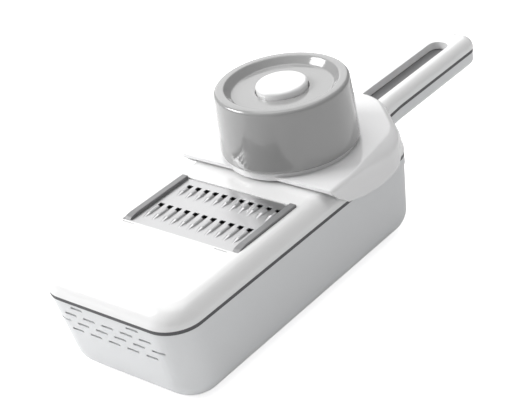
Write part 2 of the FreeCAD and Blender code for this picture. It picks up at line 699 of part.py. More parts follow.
def guard_arch(half, top, base, radius):
    """Long block with its two upper edges rounded."""
    block = box_between((-half, GUARD_FRONT_Y - OVER, base), (half, GUARD_TAIL_Y + OVER, top))
    edges = [e for e in block.Edges if e.BoundBox.YLength > half and abs(e.BoundBox.ZMin - top) < 1e-4]
    return block.makeFillet(radius, edges)


def skirt_cutter():
    """Everything under the skirts' scalloped lower edge."""
    start = GUARD_FRONT_Y + SKIRT_START
    back = KNOB_Y + GUARD_BACK_SHIFT
    end = back + SKIRT_END
    floor = BOARD_TOP - 2 * GUARD_SKIRT
    x = -GUARD_HALF - OVER
    edge = [(start, GUARD_UNDER)]
    edge.extend((GUARD_FRONT_Y + run, BOARD_TOP - drop) for run, drop in SKIRT_FRONT_CURVE)
    edge.extend((back + run, BOARD_TOP - drop) for run, drop in SKIRT_BACK_CURVE)
    edge.append((end, GUARD_UNDER))
    curve = Part.BSplineCurve()
    curve.interpolate([V(x, y, z) for y, z in edge])
    ends = (V(x, end, GUARD_UNDER), V(x, end, floor), V(x, start, floor), V(x, start, GUARD_UNDER))
    edges = [curve.toShape()] + [Part.makeLine(a, b) for a, b in zip(ends, ends[1:])]
    under = Part.Face(Part.Wire(edges)).extrude(V(-2 * x, 0, 0))
    nose = box_between((x, GUARD_FRONT_Y - OVER, floor), (-x, start, GUARD_UNDER))
    tail = box_between((x, end, floor), (-x, GUARD_TAIL_Y + OVER, GUARD_UNDER))
    return under.fuse([nose, tail])


def make_guard_saddle():
    low = BOARD_TOP - GUARD_SKIRT - SKIRT_SPARE
    outer = guard_arch(GUARD_HALF, GUARD_TOP, low, GUARD_ROUND)
    hollow = guard_arch(GUARD_HALF - GUARD_SHEET, GUARD_UNDER, low - OVER, GUARD_ROUND - GUARD_SHEET)
    saddle = outer.cut(hollow).common(guard_plan(low - OVER, GUARD_TOP + OVER))
    saddle = saddle.cut(skirt_cutter())

    runner_x = INSERT_LENGTH / 2 + INSERT_CLEARANCE + RUNNER_INSET
    runner_base = BOARD_TOP + RUNNER_GAP
    runner_end = KNOB_Y + GUARD_BACK_SHIFT + RUNNER_BACK
    plinth = rod(PLINTH_RADIUS, 0, KNOB_Y, GUARD_TOP - PLINTH_DEPTH, PLINTH_TOP)
    plinth = plinth.makeFillet(PLINTH_ROUND, level_edges(plinth, PLINTH_TOP))
    pieces = [saddle, plinth, rod(COLLAR_RADIUS, 0, KNOB_Y, GUARD_UNDER, COLLAR_TOP_Z)]
    for side in (-1, 1):
        xs = sorted((side * runner_x, side * (runner_x + RUNNER_WIDTH)))
        pieces.append(box_between((xs[0], GUARD_FRONT_Y + RUNNER_FRONT, runner_base),
                                  (xs[1], runner_end, GUARD_UNDER + GUARD_SHEET / 2)))
    saddle = joined(pieces)
    saddle = saddle.cut(rod(THROAT_RADIUS, 0, KNOB_Y, low, COLLAR_TOP_Z + OVER))
    groove_top = COLLAR_TOP_Z - GROOVE_TOP_GAP
    groove = tube(COLLAR_RADIUS + OVER, COLLAR_RADIUS - GROOVE_DEPTH, 0, KNOB_Y,
                  groove_top - RING_HEIGHT, groove_top)
    return saddle.cut(groove)


def make_retainer_ring():
    """Snap ring in the collar's groove; it stops the knob from lifting off."""
    top = COLLAR_TOP_Z - GROOVE_TOP_GAP
    return tube(COLLAR_RADIUS + RING_WALL, COLLAR_RADIUS - GROOVE_DEPTH, 0, KNOB_Y, top - RING_HEIGHT, top)


# ---- Pusher knob --------------------------------------------------------------------------------
def knob_radius(z):
    """Outside radius of the knob at a height."""
    share = (z - KNOB_BASE) / KNOB_HEIGHT
    return KNOB_BASE_RADIUS + (KNOB_TOP_RADIUS - KNOB_BASE_RADIUS) * share


def post_places():
    """Posts that carry the pusher plate."""
    return around(POST_COUNT, POST_CIRCLE, POST_START, KNOB_AXIS)


def make_knob_shell():
    """Turned cup, open below, with a dished top and a hole for the button."""
    lip = DISH_FLOOR - KNOB_WALL
    wall_top = lip - CEILING_STEP
    hole = BUTTON_RADIUS + BUTTON_GAP
    profile = [(knob_radius(KNOB_BASE), KNOB_BASE), (KNOB_TOP_RADIUS, KNOB_TOP),
               (DISH_RADIUS, KNOB_TOP), (DISH_FLOOR_RADIUS, DISH_FLOOR), (hole, DISH_FLOOR), (hole, lip),
               (DISH_FLOOR_RADIUS - CEILING_INSET, lip), (knob_radius(wall_top) - KNOB_WALL, wall_top),
               (knob_radius(KNOB_BASE) - KNOB_WALL, KNOB_BASE)]
    shell = turned(profile, KNOB_AXIS)
    rim = [e for e in level_edges(shell, KNOB_TOP) if len(e.Vertexes) <= 2]
    shell = shell.makeFillet(KNOB_RIM_ROUND, rim)
    posts = [rod(POST_RADIUS, x, y, PUSHER_TOP, lip + KNOB_WALL / 2)
             for x, y in post_places()]
    shell = joined([shell] + posts)
    for x, y in post_places():
        shell = shell.cut(rod(SCREW_RADIUS, x, y, PUSHER_TOP - OVER, PUSHER_TOP + POST_SCREW_DEPTH))
    return shell


def make_knob_liner():
    """Sleeve inside the knob that runs on the guard's collar, with a lip that the ring catches."""
    top = KNOB_CEILING - LINER_TOP_GAP
    sleeve = tube(LINER_RADIUS, LINER_BORE, 0, KNOB_Y, KNOB_BASE, top)
    lip = tube(LINER_RADIUS, LINER_BORE - LINER_LIP, 0, KNOB_Y, KNOB_BASE, KNOB_BASE + LINER_LIP_HEIGHT)
    flange_top = KNOB_BASE + LINER_FLANGE
    flange_radius = min(knob_radius(KNOB_BASE), knob_radius(flange_top)) - KNOB_WALL
    flange = tube(flange_radius, LINER_BORE, 0, KNOB_Y, KNOB_BASE, flange_top)
    return joined([sleeve, lip, flange])


def pin_places():
    """Food pins on two circles."""
    places = []
    for count, radius, start in PIN_CIRCLES:
        places.extend(around(count, radius, start, KNOB_AXIS))
    return places


def make_pusher_plate():
    plate = rod(PUSHER_RADIUS, 0, KNOB_Y, PUSHER_BASE, PUSHER_TOP)
    plate = plate.cut(rod(STEM_RADIUS + STEM_CLEARANCE, 0, KNOB_Y, PUSHER_BASE - OVER, PUSHER_TOP + OVER))
    for x, y in pin_places():
        plate = plate.cut(rod(PIN_RADIUS, x, y, PUSHER_BASE - OVER, PUSHER_TOP - PIN_COVER))
    for x, y in post_places():
        plate = plate.cut(rod(SCREW_RADIUS, x, y, PUSHER_BASE - OVER, PUSHER_TOP + OVER))
        head = rod(SCREW_HEAD_RADIUS + HEAD_CLEARANCE, x, y, PUSHER_BASE - OVER, PUSHER_BASE + SCREW_HEAD)
        plate = plate.cut(head)
    return plate


def make_food_pins():
    """Steel pins set in the pusher plate, pointed at their lower ends."""
    pins = []
    for x, y in pin_places():
        shank = rod(PIN_RADIUS, x, y, PIN_TIP_Z + PIN_POINT, PUSHER_TOP - PIN_COVER)
        cone = Part.makeCone(PIN_POINT_RADIUS, PIN_RADIUS, PIN_POINT, V(x, y, PIN_TIP_Z))
        pins.append(shank.fuse(cone).removeSplitter())
    return Part.makeCompound(pins)


def make_pusher_screws():
    screws = []
    for x, y in post_places():
        shank = rod(SCREW_RADIUS, x, y, PUSHER_BASE + SCREW_HEAD / 2, PUSHER_TOP + POST_SCREW_REACH)
        screws.append(shank.fuse(rod(SCREW_HEAD_RADIUS, x, y, PUSHER_BASE, PUSHER_BASE + SCREW_HEAD)))
    return Part.makeCompound(screws)


# ---- Eject button -------------------------------------------------------------------------------
def make_eject_button():
    """Domed cap with a skirt and a flange that is caught under the knob's top."""
    edge = BUTTON_TOP - BUTTON_DOME
    sphere = (BUTTON_RADIUS ** 2 + BUTTON_DOME ** 2) / (2 * BUTTON_DOME)
    dome = Part.makeSphere(sphere, V(0, KNOB_Y, BUTTON_TOP - sphere))
    cap = rod(BUTTON_RADIUS, 0, KNOB_Y, edge, BUTTON_TOP + OVER).common(dome)
    skirt_base = edge - BUTTON_SKIRT
    skirt = tube(BUTTON_RADIUS, BUTTON_RADIUS - BUTTON_WALL, 0, KNOB_Y, skirt_base, edge)
    floor = rod(BUTTON_RADIUS, 0, KNOB_Y, edge - BUTTON_WALL, edge)
    flange = tube(BUTTON_RADIUS + BUTTON_FLANGE_REACH, BUTTON_RADIUS - BUTTON_WALL, 0, KNOB_Y,
                  FLANGE_BASE, FLANGE_TOP)
    socket = tube(STEM_RADIUS + STEM_SOCKET_WALL, STEM_RADIUS, 0, KNOB_Y, STEM_TOP - STEM_SOCKET_DEPTH,
                  edge - BUTTON_WALL / 2)
    plug = rod(STEM_RADIUS, 0, KNOB_Y, STEM_TOP, edge)
    return joined([cap, floor, skirt, flange, socket, plug])


def make_button_stem():
    """Rod from the button down to the stripper disc, with a shoulder that seats the disc."""
    rod_part = rod(STEM_RADIUS, 0, KNOB_Y, STRIPPER_TOP, STEM_TOP)
    neck = rod(STEM_RADIUS - STEM_NECK_STEP, 0, KNOB_Y, STRIPPER_BASE, STRIPPER_TOP)
    stem = joined([rod_part, neck])
    return stem.cut(rod(STEM_SCREW_RADIUS, 0, KNOB_Y, STRIPPER_BASE - OVER, STRIPPER_TOP + STEM_SCREW_REACH))


def make_stem_clip():
    """Collar on the stem that the spring pushes up against."""
    return tube(COLLAR_CLIP_RADIUS, STEM_RADIUS, 0, KNOB_Y, STEM_CLIP_Z, STEM_CLIP_Z + COLLAR_CLIP_HEIGHT)


def make_button_spring():
    """Coil spring between the pusher plate and the stem's collar."""
    base = PUSHER_TOP + SPRING_WIRE + SPRING_SEAT_GAP
    height = STEM_CLIP_Z - SPRING_WIRE - SPRING_SEAT_GAP - base
    path = Part.makeHelix(height / SPRING_TURNS, height, SPRING_RADIUS)
    turn = 2 * math.pi / SPRING_WIRE_SIDES
    angles = [turn * (i + 0.5) for i in range(SPRING_WIRE_SIDES)]
    points = [V(SPRING_RADIUS + SPRING_WIRE * math.cos(a), 0, SPRING_WIRE * math.sin(a)) for a in angles]
    section = Part.makePolygon(points + points[:1])
    coil = Part.Wire(path.Edges).makePipeShell([section], True, True)
    return coil.translated(V(0, KNOB_Y, base))


def make_stripper_disc():
    """Disc that rides down the pins and pushes the food off them."""
    disc = rod(PUSHER_RADIUS - STRIPPER_EDGE, 0, KNOB_Y, STRIPPER_BASE, STRIPPER_TOP)
    low = STRIPPER_BASE - OVER
    high = STRIPPER_TOP + OVER
    disc = disc.cut(rod(STEM_RADIUS - STEM_NECK_STEP, 0, KNOB_Y, low, high))
    for x, y in pin_places():
        disc = disc.cut(rod(PIN_RADIUS + STRIPPER_CLEARANCE, x, y, low, high))
    return disc


def make_stem_screw():
    shank = rod(STEM_SCREW_RADIUS, 0, KNOB_Y, STRIPPER_BASE, STRIPPER_TOP + STEM_SCREW_REACH)
    return shank.fuse(rod(STEM_SCREW_HEAD_RADIUS, 0, KNOB_Y, STRIPPER_BASE - STEM_SCREW_HEAD, STRIPPER_BASE))


# ---- Write the pieces ---------------------------------------------------------------------------
NODES = {
    "drain_tub": make_drain_tub,
    "rim_seal": make_rim_seal,
    "handle_inlay": make_handle_inlay,
    "inlay_screws": make_inlay_screws,
    "slicer_board": make_slicer_board,
    "board_frame": make_board_frame,
    "frame_screws": make_frame_screws,
    "insert_clips": make_insert_clips,
    "grater_plate": make_grater_plate,
    "insert_rail_left": lambda: make_insert_rail(-1),
    "insert_rail_right": lambda: make_insert_rail(1),
    "guard_saddle": make_guard_saddle,
    "retainer_ring": make_retainer_ring,
    "knob_shell": make_knob_shell,
    "knob_liner": make_knob_liner,
    "pusher_plate": make_pusher_plate,
    "food_pins": make_food_pins,
    "pusher_screws": make_pusher_screws,
    "eject_button": make_eject_button,
    "button_stem": make_button_stem,
    "stem_clip": make_stem_clip,
    "button_spring": make_button_spring,
    "stripper_disc": make_stripper_disc,
    "stem_screw": make_stem_screw,
}


def main():
    os.makedirs("parts", exist_ok=True)
    for name, make in NODES.items():
        shape = make()
        solids = shape.Solids
        valid = shape.isValid() and all(s.isClosed() for s in solids)
        box = shape.BoundBox
        low = (box.XMin, box.YMin, box.ZMin)
        high = (box.XMax, box.YMax, box.ZMax)
        reach = "  ".join(f"{a:7.2f} {b:7.2f}" for a, b in zip(low, high))
        volume = shape.Volume / 1000
        print(f"{name:18s} solids {len(solids):2d} valid {valid} volume {volume:8.2f} cm3  {reach}")
        shape.exportStep(f"parts/{name}.step")


main()
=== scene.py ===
"""Looks for the mandoline slicer: meshes, finishes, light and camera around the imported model."""
import logging
import math
from dataclasses import dataclass, field
from enum import Enum
from typing import Callable, Sequence

import bmesh
import bpy
from mathutils import Matrix, Vector


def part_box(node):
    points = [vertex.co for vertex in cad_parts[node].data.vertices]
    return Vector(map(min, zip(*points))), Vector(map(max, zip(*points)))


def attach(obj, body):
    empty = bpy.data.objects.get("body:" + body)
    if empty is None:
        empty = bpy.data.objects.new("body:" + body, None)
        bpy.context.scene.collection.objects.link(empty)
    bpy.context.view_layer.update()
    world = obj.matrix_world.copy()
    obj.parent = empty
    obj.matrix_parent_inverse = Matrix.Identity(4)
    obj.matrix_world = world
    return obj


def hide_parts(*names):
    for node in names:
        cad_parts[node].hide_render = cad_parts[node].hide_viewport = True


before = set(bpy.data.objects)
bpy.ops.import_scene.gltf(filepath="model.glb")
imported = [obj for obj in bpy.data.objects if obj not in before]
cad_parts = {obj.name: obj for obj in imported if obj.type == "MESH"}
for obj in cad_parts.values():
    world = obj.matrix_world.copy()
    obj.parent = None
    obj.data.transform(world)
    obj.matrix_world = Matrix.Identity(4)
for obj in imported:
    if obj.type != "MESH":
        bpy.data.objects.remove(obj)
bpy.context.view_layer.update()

MM = 0.001
LOG = logging.getLogger("mandoline_slicer")

WELD_DISTANCE = 1e-6
ON_AXIS = 1e-7
SHORTEST_SIDE = 1e-9
ROUND_LIMIT = 0.49
EDGE_SEGMENTS = 2
NORMAL_WEIGHT = 80
NODE_SPACING = (190, 160)
NODE_ROWS = 4

Point = tuple[float, float, float]


class Body(str, Enum):
    """Moving bodies that the pieces built here ride on."""

    INSERT = "insert"
    GUARD = "guard"
    PUSHER = "pusher"
    BUTTON = "button"


# ---- Mesh making --------------------------------------------------------------------------------
def smooth_by_angle(piece: bpy.types.Object, degrees: float) -> None:
    """Shade a mesh smooth except over edges sharper than an angle.

    Args:
        piece: mesh object to shade.
        degrees: sharpest edge, in degrees, that still looks smooth.
    """
    piece.data.polygons.foreach_set("use_smooth", [True] * len(piece.data.polygons))
    piece.data.set_sharp_from_angle(angle=math.radians(degrees))


def new_piece(name: str, mesh: bmesh.types.BMesh, sharp: float = 35.0) -> bpy.types.Object:
    """Turn a working mesh into a named, linked and smoothed object.

    Args:
        name: the piece's name.
        mesh: working mesh, freed here.
        sharp: edges sharper than this many degrees stay crisp.

    Returns:
        The new object.
    """
    bmesh.ops.remove_doubles(mesh, verts=mesh.verts, dist=WELD_DISTANCE)
    bmesh.ops.recalc_face_normals(mesh, faces=mesh.faces)
    data = bpy.data.meshes.new(name)
    mesh.to_mesh(data)
    mesh.free()
    piece = bpy.data.objects.new(name, data)
    bpy.context.scene.collection.objects.link(piece)
    smooth_by_angle(piece, sharp)
    return piece


def bridge(mesh: bmesh.types.BMesh, first: list, second: list, closed: bool) -> None:
    """Join two rows of vertices with quads.

    Args:
        mesh: working mesh.
        first: first row of vertices.
        second: second row, as long as the first.
        closed: whether the rows are rings.
    """
    count = len(first)
    for i in range(count if closed else count - 1):
        j = (i + 1) % count
        corners = [first[i], first[j], second[j], second[i]]
        unique = list(dict.fromkeys(corners))
        if len(unique) >= 3:
            mesh.faces.new(unique)


def turn(mesh: bmesh.types.BMesh, profile: Sequence, axis: Vector, steps: int = 128) -> None:
    """Turn a closed (radius, height) profile about an upright axis.

    Args:
        mesh: working mesh that receives the faces.
        profile: closed outline, in metres.
        axis: a point on the axis; only its x and y count.
        steps: spans round the axis.
    """
    rings = []
    for radius, height in profile:
        if radius < ON_AXIS:
            rings.append([mesh.verts.new((axis.x, axis.y, height))] * steps)
            continue
        ring = []
        for i in range(steps):
            a = math.tau * i / steps
            x, y = axis.x + radius * math.cos(a), axis.y + radius * math.sin(a)
            ring.append(mesh.verts.new((x, y, height)))
        rings.append(ring)
    for ring, following in zip(rings, rings[1:] + rings[:1]):
        bridge(mesh, ring, following, True)


def round_profile(corners: Sequence, steps: int = 6) -> list:
    """Round the corners of a closed profile.

    Args:
        corners: (radius, height, rounding) for each corner, in metres.
        steps: spans in each rounding.

    Returns:
        Points of the rounded outline.
    """
    outline = []
    count = len(corners)
    for i, (x, y, rounding) in enumerate(corners):
        here = Vector((x, y))
        back = Vector(corners[i - 1][:2]) - here
        ahead = Vector(corners[(i + 1) % count][:2]) - here
        if rounding <= 0 or min(back.length, ahead.length) < SHORTEST_SIDE:
            outline.append((x, y))
            continue
        half = back.angle(ahead) / 2
        run = min(rounding / math.tan(half), ROUND_LIMIT * back.length, ROUND_LIMIT * ahead.length)
        start, end = here + back.normalized() * run, here + ahead.normalized() * run
        for k in range(steps + 1):
            t = k / steps
            point = start.lerp(here, t).lerp(here.lerp(end, t), t)
            outline.append((point.x, point.y))
    return outline


def add_modifier(piece: bpy.types.Object, kind: str, **settings: object) -> None:
    """Add a modifier and set its values.

    Args:
        piece: object to change.
        kind: Blender's modifier type.
        settings: property values to set on it.
    """
    modifier = piece.modifiers.new(kind.lower(), kind)
    for key, value in settings.items():
        setattr(modifier, key, value)


# ---- Shader helpers -----------------------------------------------------------------------------
# Places of the colour sockets on a Mix node
COLOUR_SOCKETS = (6, 7)
COLOUR_RESULT = 2

# Noise settings, by what each noise makes
EDGE_BREAKS = {"Scale": 420.0, "Detail": 4.0, "Roughness": 0.65}
SKIN_GRAIN = {"Detail": 3.0, "Roughness": 0.6}
GLOSS_CLOUDS = {"Scale": 22.0, "Detail": 2.0, "Roughness": 0.5}
HAIRLINE_STREAKS = {"Scale": 46.0, "Detail": 2.0}
DUST_SPECKS = {"Scale": 900.0, "Detail": 2.0}
BRUSH_STREAKS = {"Detail": 5.0, "Roughness": 0.75}
BEVEL_SAMPLES = 6
GRAIN_SHARE = 0.7
PIT_SHARE = 0.3
# Each set of hairlines: its turn about Z in radians, and how thin its lines are drawn out
HAIRLINE_SETS = ((0.4, 26.0), (-0.9, 18.0))
HAIRLINE_TILT = (0.2, 0.1)
HAIRLINE_CUT = 0.69
HAIRLINE_SOFTNESS = 0.05
BRUSH_STRETCH = 0.03
BRUSH_SCALE = 2600.0


class Nodes:
    """Short way to lay out nodes in one tree."""

    def __init__(self, tree: bpy.types.NodeTree) -> None:
        """Remember the tree that nodes go in."""
        self.tree = tree
        self.column = 0

    def add(self, kind: str, **values: object) -> bpy.types.Node:
        """Add a node.

        Args:
            kind: node type name.
            values: properties of the node, or values of sockets by name with _ for a space.

        Returns:
            The node.
        """
        node = self.tree.nodes.new(kind)
        node.location = (self.column * NODE_SPACING[0], -(self.column % NODE_ROWS) * NODE_SPACING[1])
        self.column += 1
        for key, value in values.items():
            if hasattr(node, key):
                setattr(node, key, value)
            else:
                node.inputs[key.replace("_", " ")].default_value = value
        return node

    def link(self, source: bpy.types.NodeSocket, target: bpy.types.NodeSocket) -> None:
        """Link two sockets."""
        self.tree.links.new(source, target)

    def math(self, operation: str, *values: object) -> bpy.types.NodeSocket:
        """Add a maths node.

        Args:
            operation: its operation.
            values: numbers or sockets for its inputs.

        Returns:
            The result's socket.
        """
        node = self.add("ShaderNodeMath", operation=operation)
        for socket, value in zip(node.inputs, values):
            if isinstance(value, bpy.types.NodeSocket):
                self.link(value, socket)
            else:
                socket.default_value = value
        return node.outputs[0]

    def mix_colour(self, share: bpy.types.NodeSocket, first: object,
                   second: object) -> bpy.types.NodeSocket:
        """Mix two colours by a socket.

        Args:
            share: how much of the second colour shows.
            first: colour tuple or socket.
            second: colour tuple or socket.

        Returns:
            The mixed colour's socket.
        """
        node = self.add("ShaderNodeMix", data_type="RGBA")
        self.link(share, node.inputs[0])
        for index, value in zip(COLOUR_SOCKETS, (first, second)):
            if isinstance(value, bpy.types.NodeSocket):
                self.link(value, node.inputs[index])
            else:
                node.inputs[index].default_value = value
        return node.outputs[COLOUR_RESULT]


def make_group(name: str, inputs: dict[str, float], outputs: dict[str, str],
               fill: Callable[[Nodes, bpy.types.Node, bpy.types.Node], None]) -> bpy.types.NodeTree:
    """Build a shader node group once.

    Args:
        name: the group's name.
        inputs: float inputs with their default values.
        outputs: outputs with their socket types.
        fill: function that lays out the nodes between input and output.

    Returns:
        The node group.
    """
    tree = bpy.data.node_groups.new(name, "ShaderNodeTree")
    for title, value in inputs.items():
        tree.interface.new_socket(title, in_out="INPUT", socket_type="NodeSocketFloat").default_value = value
    for title, kind in outputs.items():
        tree.interface.new_socket(title, in_out="OUTPUT", socket_type=kind)
    nodes = Nodes(tree)
    fill(nodes, nodes.add("NodeGroupInput"), nodes.add("NodeGroupOutput"))
    return tree


def fill_edge_wear(nodes: Nodes, given: bpy.types.Node, result: bpy.types.Node) -> None:
    """Soft edges: a rounded normal, and a mask that is bright along edges and broken up by noise.

    Args:
        nodes: the group's nodes.
        given: the group's input node.
        result: the group's output node.
    """
    bevel = nodes.add("ShaderNodeBevel", samples=BEVEL_SAMPLES)
    nodes.link(given.outputs["Radius"], bevel.inputs["Radius"])
    geometry = nodes.add("ShaderNodeNewGeometry")
    dot = nodes.add("ShaderNodeVectorMath", operation="DOT_PRODUCT")
    nodes.link(bevel.outputs[0], dot.inputs[0])
    nodes.link(geometry.outputs["Normal"], dot.inputs[1])
    edge = nodes.math("SUBTRACT", 1.0, dot.outputs["Value"])
    place = nodes.add("ShaderNodeTexCoord")
    noise = nodes.add("ShaderNodeTexNoise", **EDGE_BREAKS)
    nodes.link(place.outputs["Object"], noise.inputs["Vector"])
    broken = nodes.math("MULTIPLY", edge, nodes.math("MULTIPLY", noise.outputs[0], given.outputs["Amount"]))
    nodes.link(nodes.math("MINIMUM", broken, 1.0), result.inputs["Wear"])
    nodes.link(bevel.outputs[0], result.inputs["Normal"])


def fill_mould_grain(nodes: Nodes, given: bpy.types.Node, result: bpy.types.Node) -> None:
    """Fine moulded skin: a height, and slow cloudy changes in gloss.

    Args:
        nodes: the group's nodes.
        given: the group's input node.
        result: the group's output node.
    """
    place = nodes.add("ShaderNodeTexCoord")
    fine = nodes.add("ShaderNodeTexNoise", **SKIN_GRAIN)
    nodes.link(place.outputs["Object"], fine.inputs["Vector"])
    nodes.link(given.outputs["Grain Scale"], fine.inputs["Scale"])
    slow = nodes.add("ShaderNodeTexNoise", **GLOSS_CLOUDS)
    nodes.link(place.outputs["Object"], slow.inputs["Vector"])
    pits = nodes.add("ShaderNodeTexVoronoi", feature="F1")
    nodes.link(place.outputs["Object"], pits.inputs["Vector"])
    nodes.link(nodes.math("MULTIPLY", given.outputs["Grain Scale"], GRAIN_SHARE), pits.inputs["Scale"])
    height = nodes.math("ADD", nodes.math("MULTIPLY", fine.outputs[0], GRAIN_SHARE),
                        nodes.math("MULTIPLY", pits.outputs["Distance"], PIT_SHARE))
    nodes.link(height, result.inputs["Height"])
    cloud = nodes.math("MULTIPLY", nodes.math("SUBTRACT", slow.outputs[0], 0.5), 2.0)
    nodes.link(cloud, result.inputs["Cloud"])


def fill_handling(nodes: Nodes, given: bpy.types.Node, result: bpy.types.Node) -> None:
    """Marks of use: fine crossing hairlines and dust that settles on faces that look up.

    Args:
        nodes: the group's nodes.
        given: the group's input node.
        result: the group's output node.
    """
    place = nodes.add("ShaderNodeTexCoord")
    masks = []
    for turn_by, stretch in HAIRLINE_SETS:
        mapping = nodes.add("ShaderNodeMapping")
        mapping.inputs["Rotation"].default_value = (*HAIRLINE_TILT, turn_by)
        mapping.inputs["Scale"].default_value = (1.0, stretch, stretch)
        nodes.link(place.outputs["Object"], mapping.inputs["Vector"])
        lines = nodes.add("ShaderNodeTexNoise", **HAIRLINE_STREAKS)
        nodes.link(mapping.outputs[0], lines.inputs["Vector"])
        line = nodes.math("GREATER_THAN", lines.outputs[0], HAIRLINE_CUT)
        masks.append(nodes.math("SMOOTH_MIN", line, 1.0, HAIRLINE_SOFTNESS))
    hair = nodes.math("MAXIMUM", masks[0], masks[1])
    nodes.link(nodes.math("MULTIPLY", hair, given.outputs["Hairlines"]), result.inputs["Hairline"])
    geometry = nodes.add("ShaderNodeNewGeometry")
    split = nodes.add("ShaderNodeSeparateXYZ")
    nodes.link(geometry.outputs["Normal"], split.inputs[0])
    specks = nodes.add("ShaderNodeTexNoise", **DUST_SPECKS)
    nodes.link(place.outputs["Object"], specks.inputs["Vector"])
    up = nodes.math("MAXIMUM", split.outputs["Z"], 0.0)
    dust = nodes.math("MULTIPLY", nodes.math("MULTIPLY", up, specks.outputs[0]), given.outputs["Dust"])
    nodes.link(dust, result.inputs["Dust"])


def fill_brushing(nodes: Nodes, given: bpy.types.Node, result: bpy.types.Node) -> None:
    """Brushed metal: long fine lines along X.

    Args:
        nodes: the group's nodes.
        given: the group's input node.
        result: the group's output node.
    """
    place = nodes.add("ShaderNodeTexCoord")
    mapping = nodes.add("ShaderNodeMapping")
    mapping.inputs["Scale"].default_value = (BRUSH_STRETCH, 1.0, 1.0)
    nodes.link(place.outputs["Object"], mapping.inputs["Vector"])
    lines = nodes.add("ShaderNodeTexNoise", **BRUSH_STREAKS)
    nodes.link(mapping.outputs[0], lines.inputs["Vector"])
    nodes.link(given.outputs["Line Scale"], lines.inputs["Scale"])
    nodes.link(lines.outputs[0], result.inputs["Lines"])


EDGE_WEAR = make_group("edge_wear", {"Radius": 0.0004, "Amount": 1.0},
                       {"Wear": "NodeSocketFloat", "Normal": "NodeSocketVector"}, fill_edge_wear)
MOULD_GRAIN = make_group("mould_grain", {"Grain Scale": 1500.0},
                         {"Height": "NodeSocketFloat", "Cloud": "NodeSocketFloat"}, fill_mould_grain)
HANDLING = make_group("handling_marks", {"Hairlines": 0.3, "Dust": 0.2},
                      {"Hairline": "NodeSocketFloat", "Dust": "NodeSocketFloat"}, fill_handling)
BRUSHING = make_group("brushed_lines", {"Line Scale": BRUSH_SCALE}, {"Lines": "NodeSocketFloat"},
                      fill_brushing)


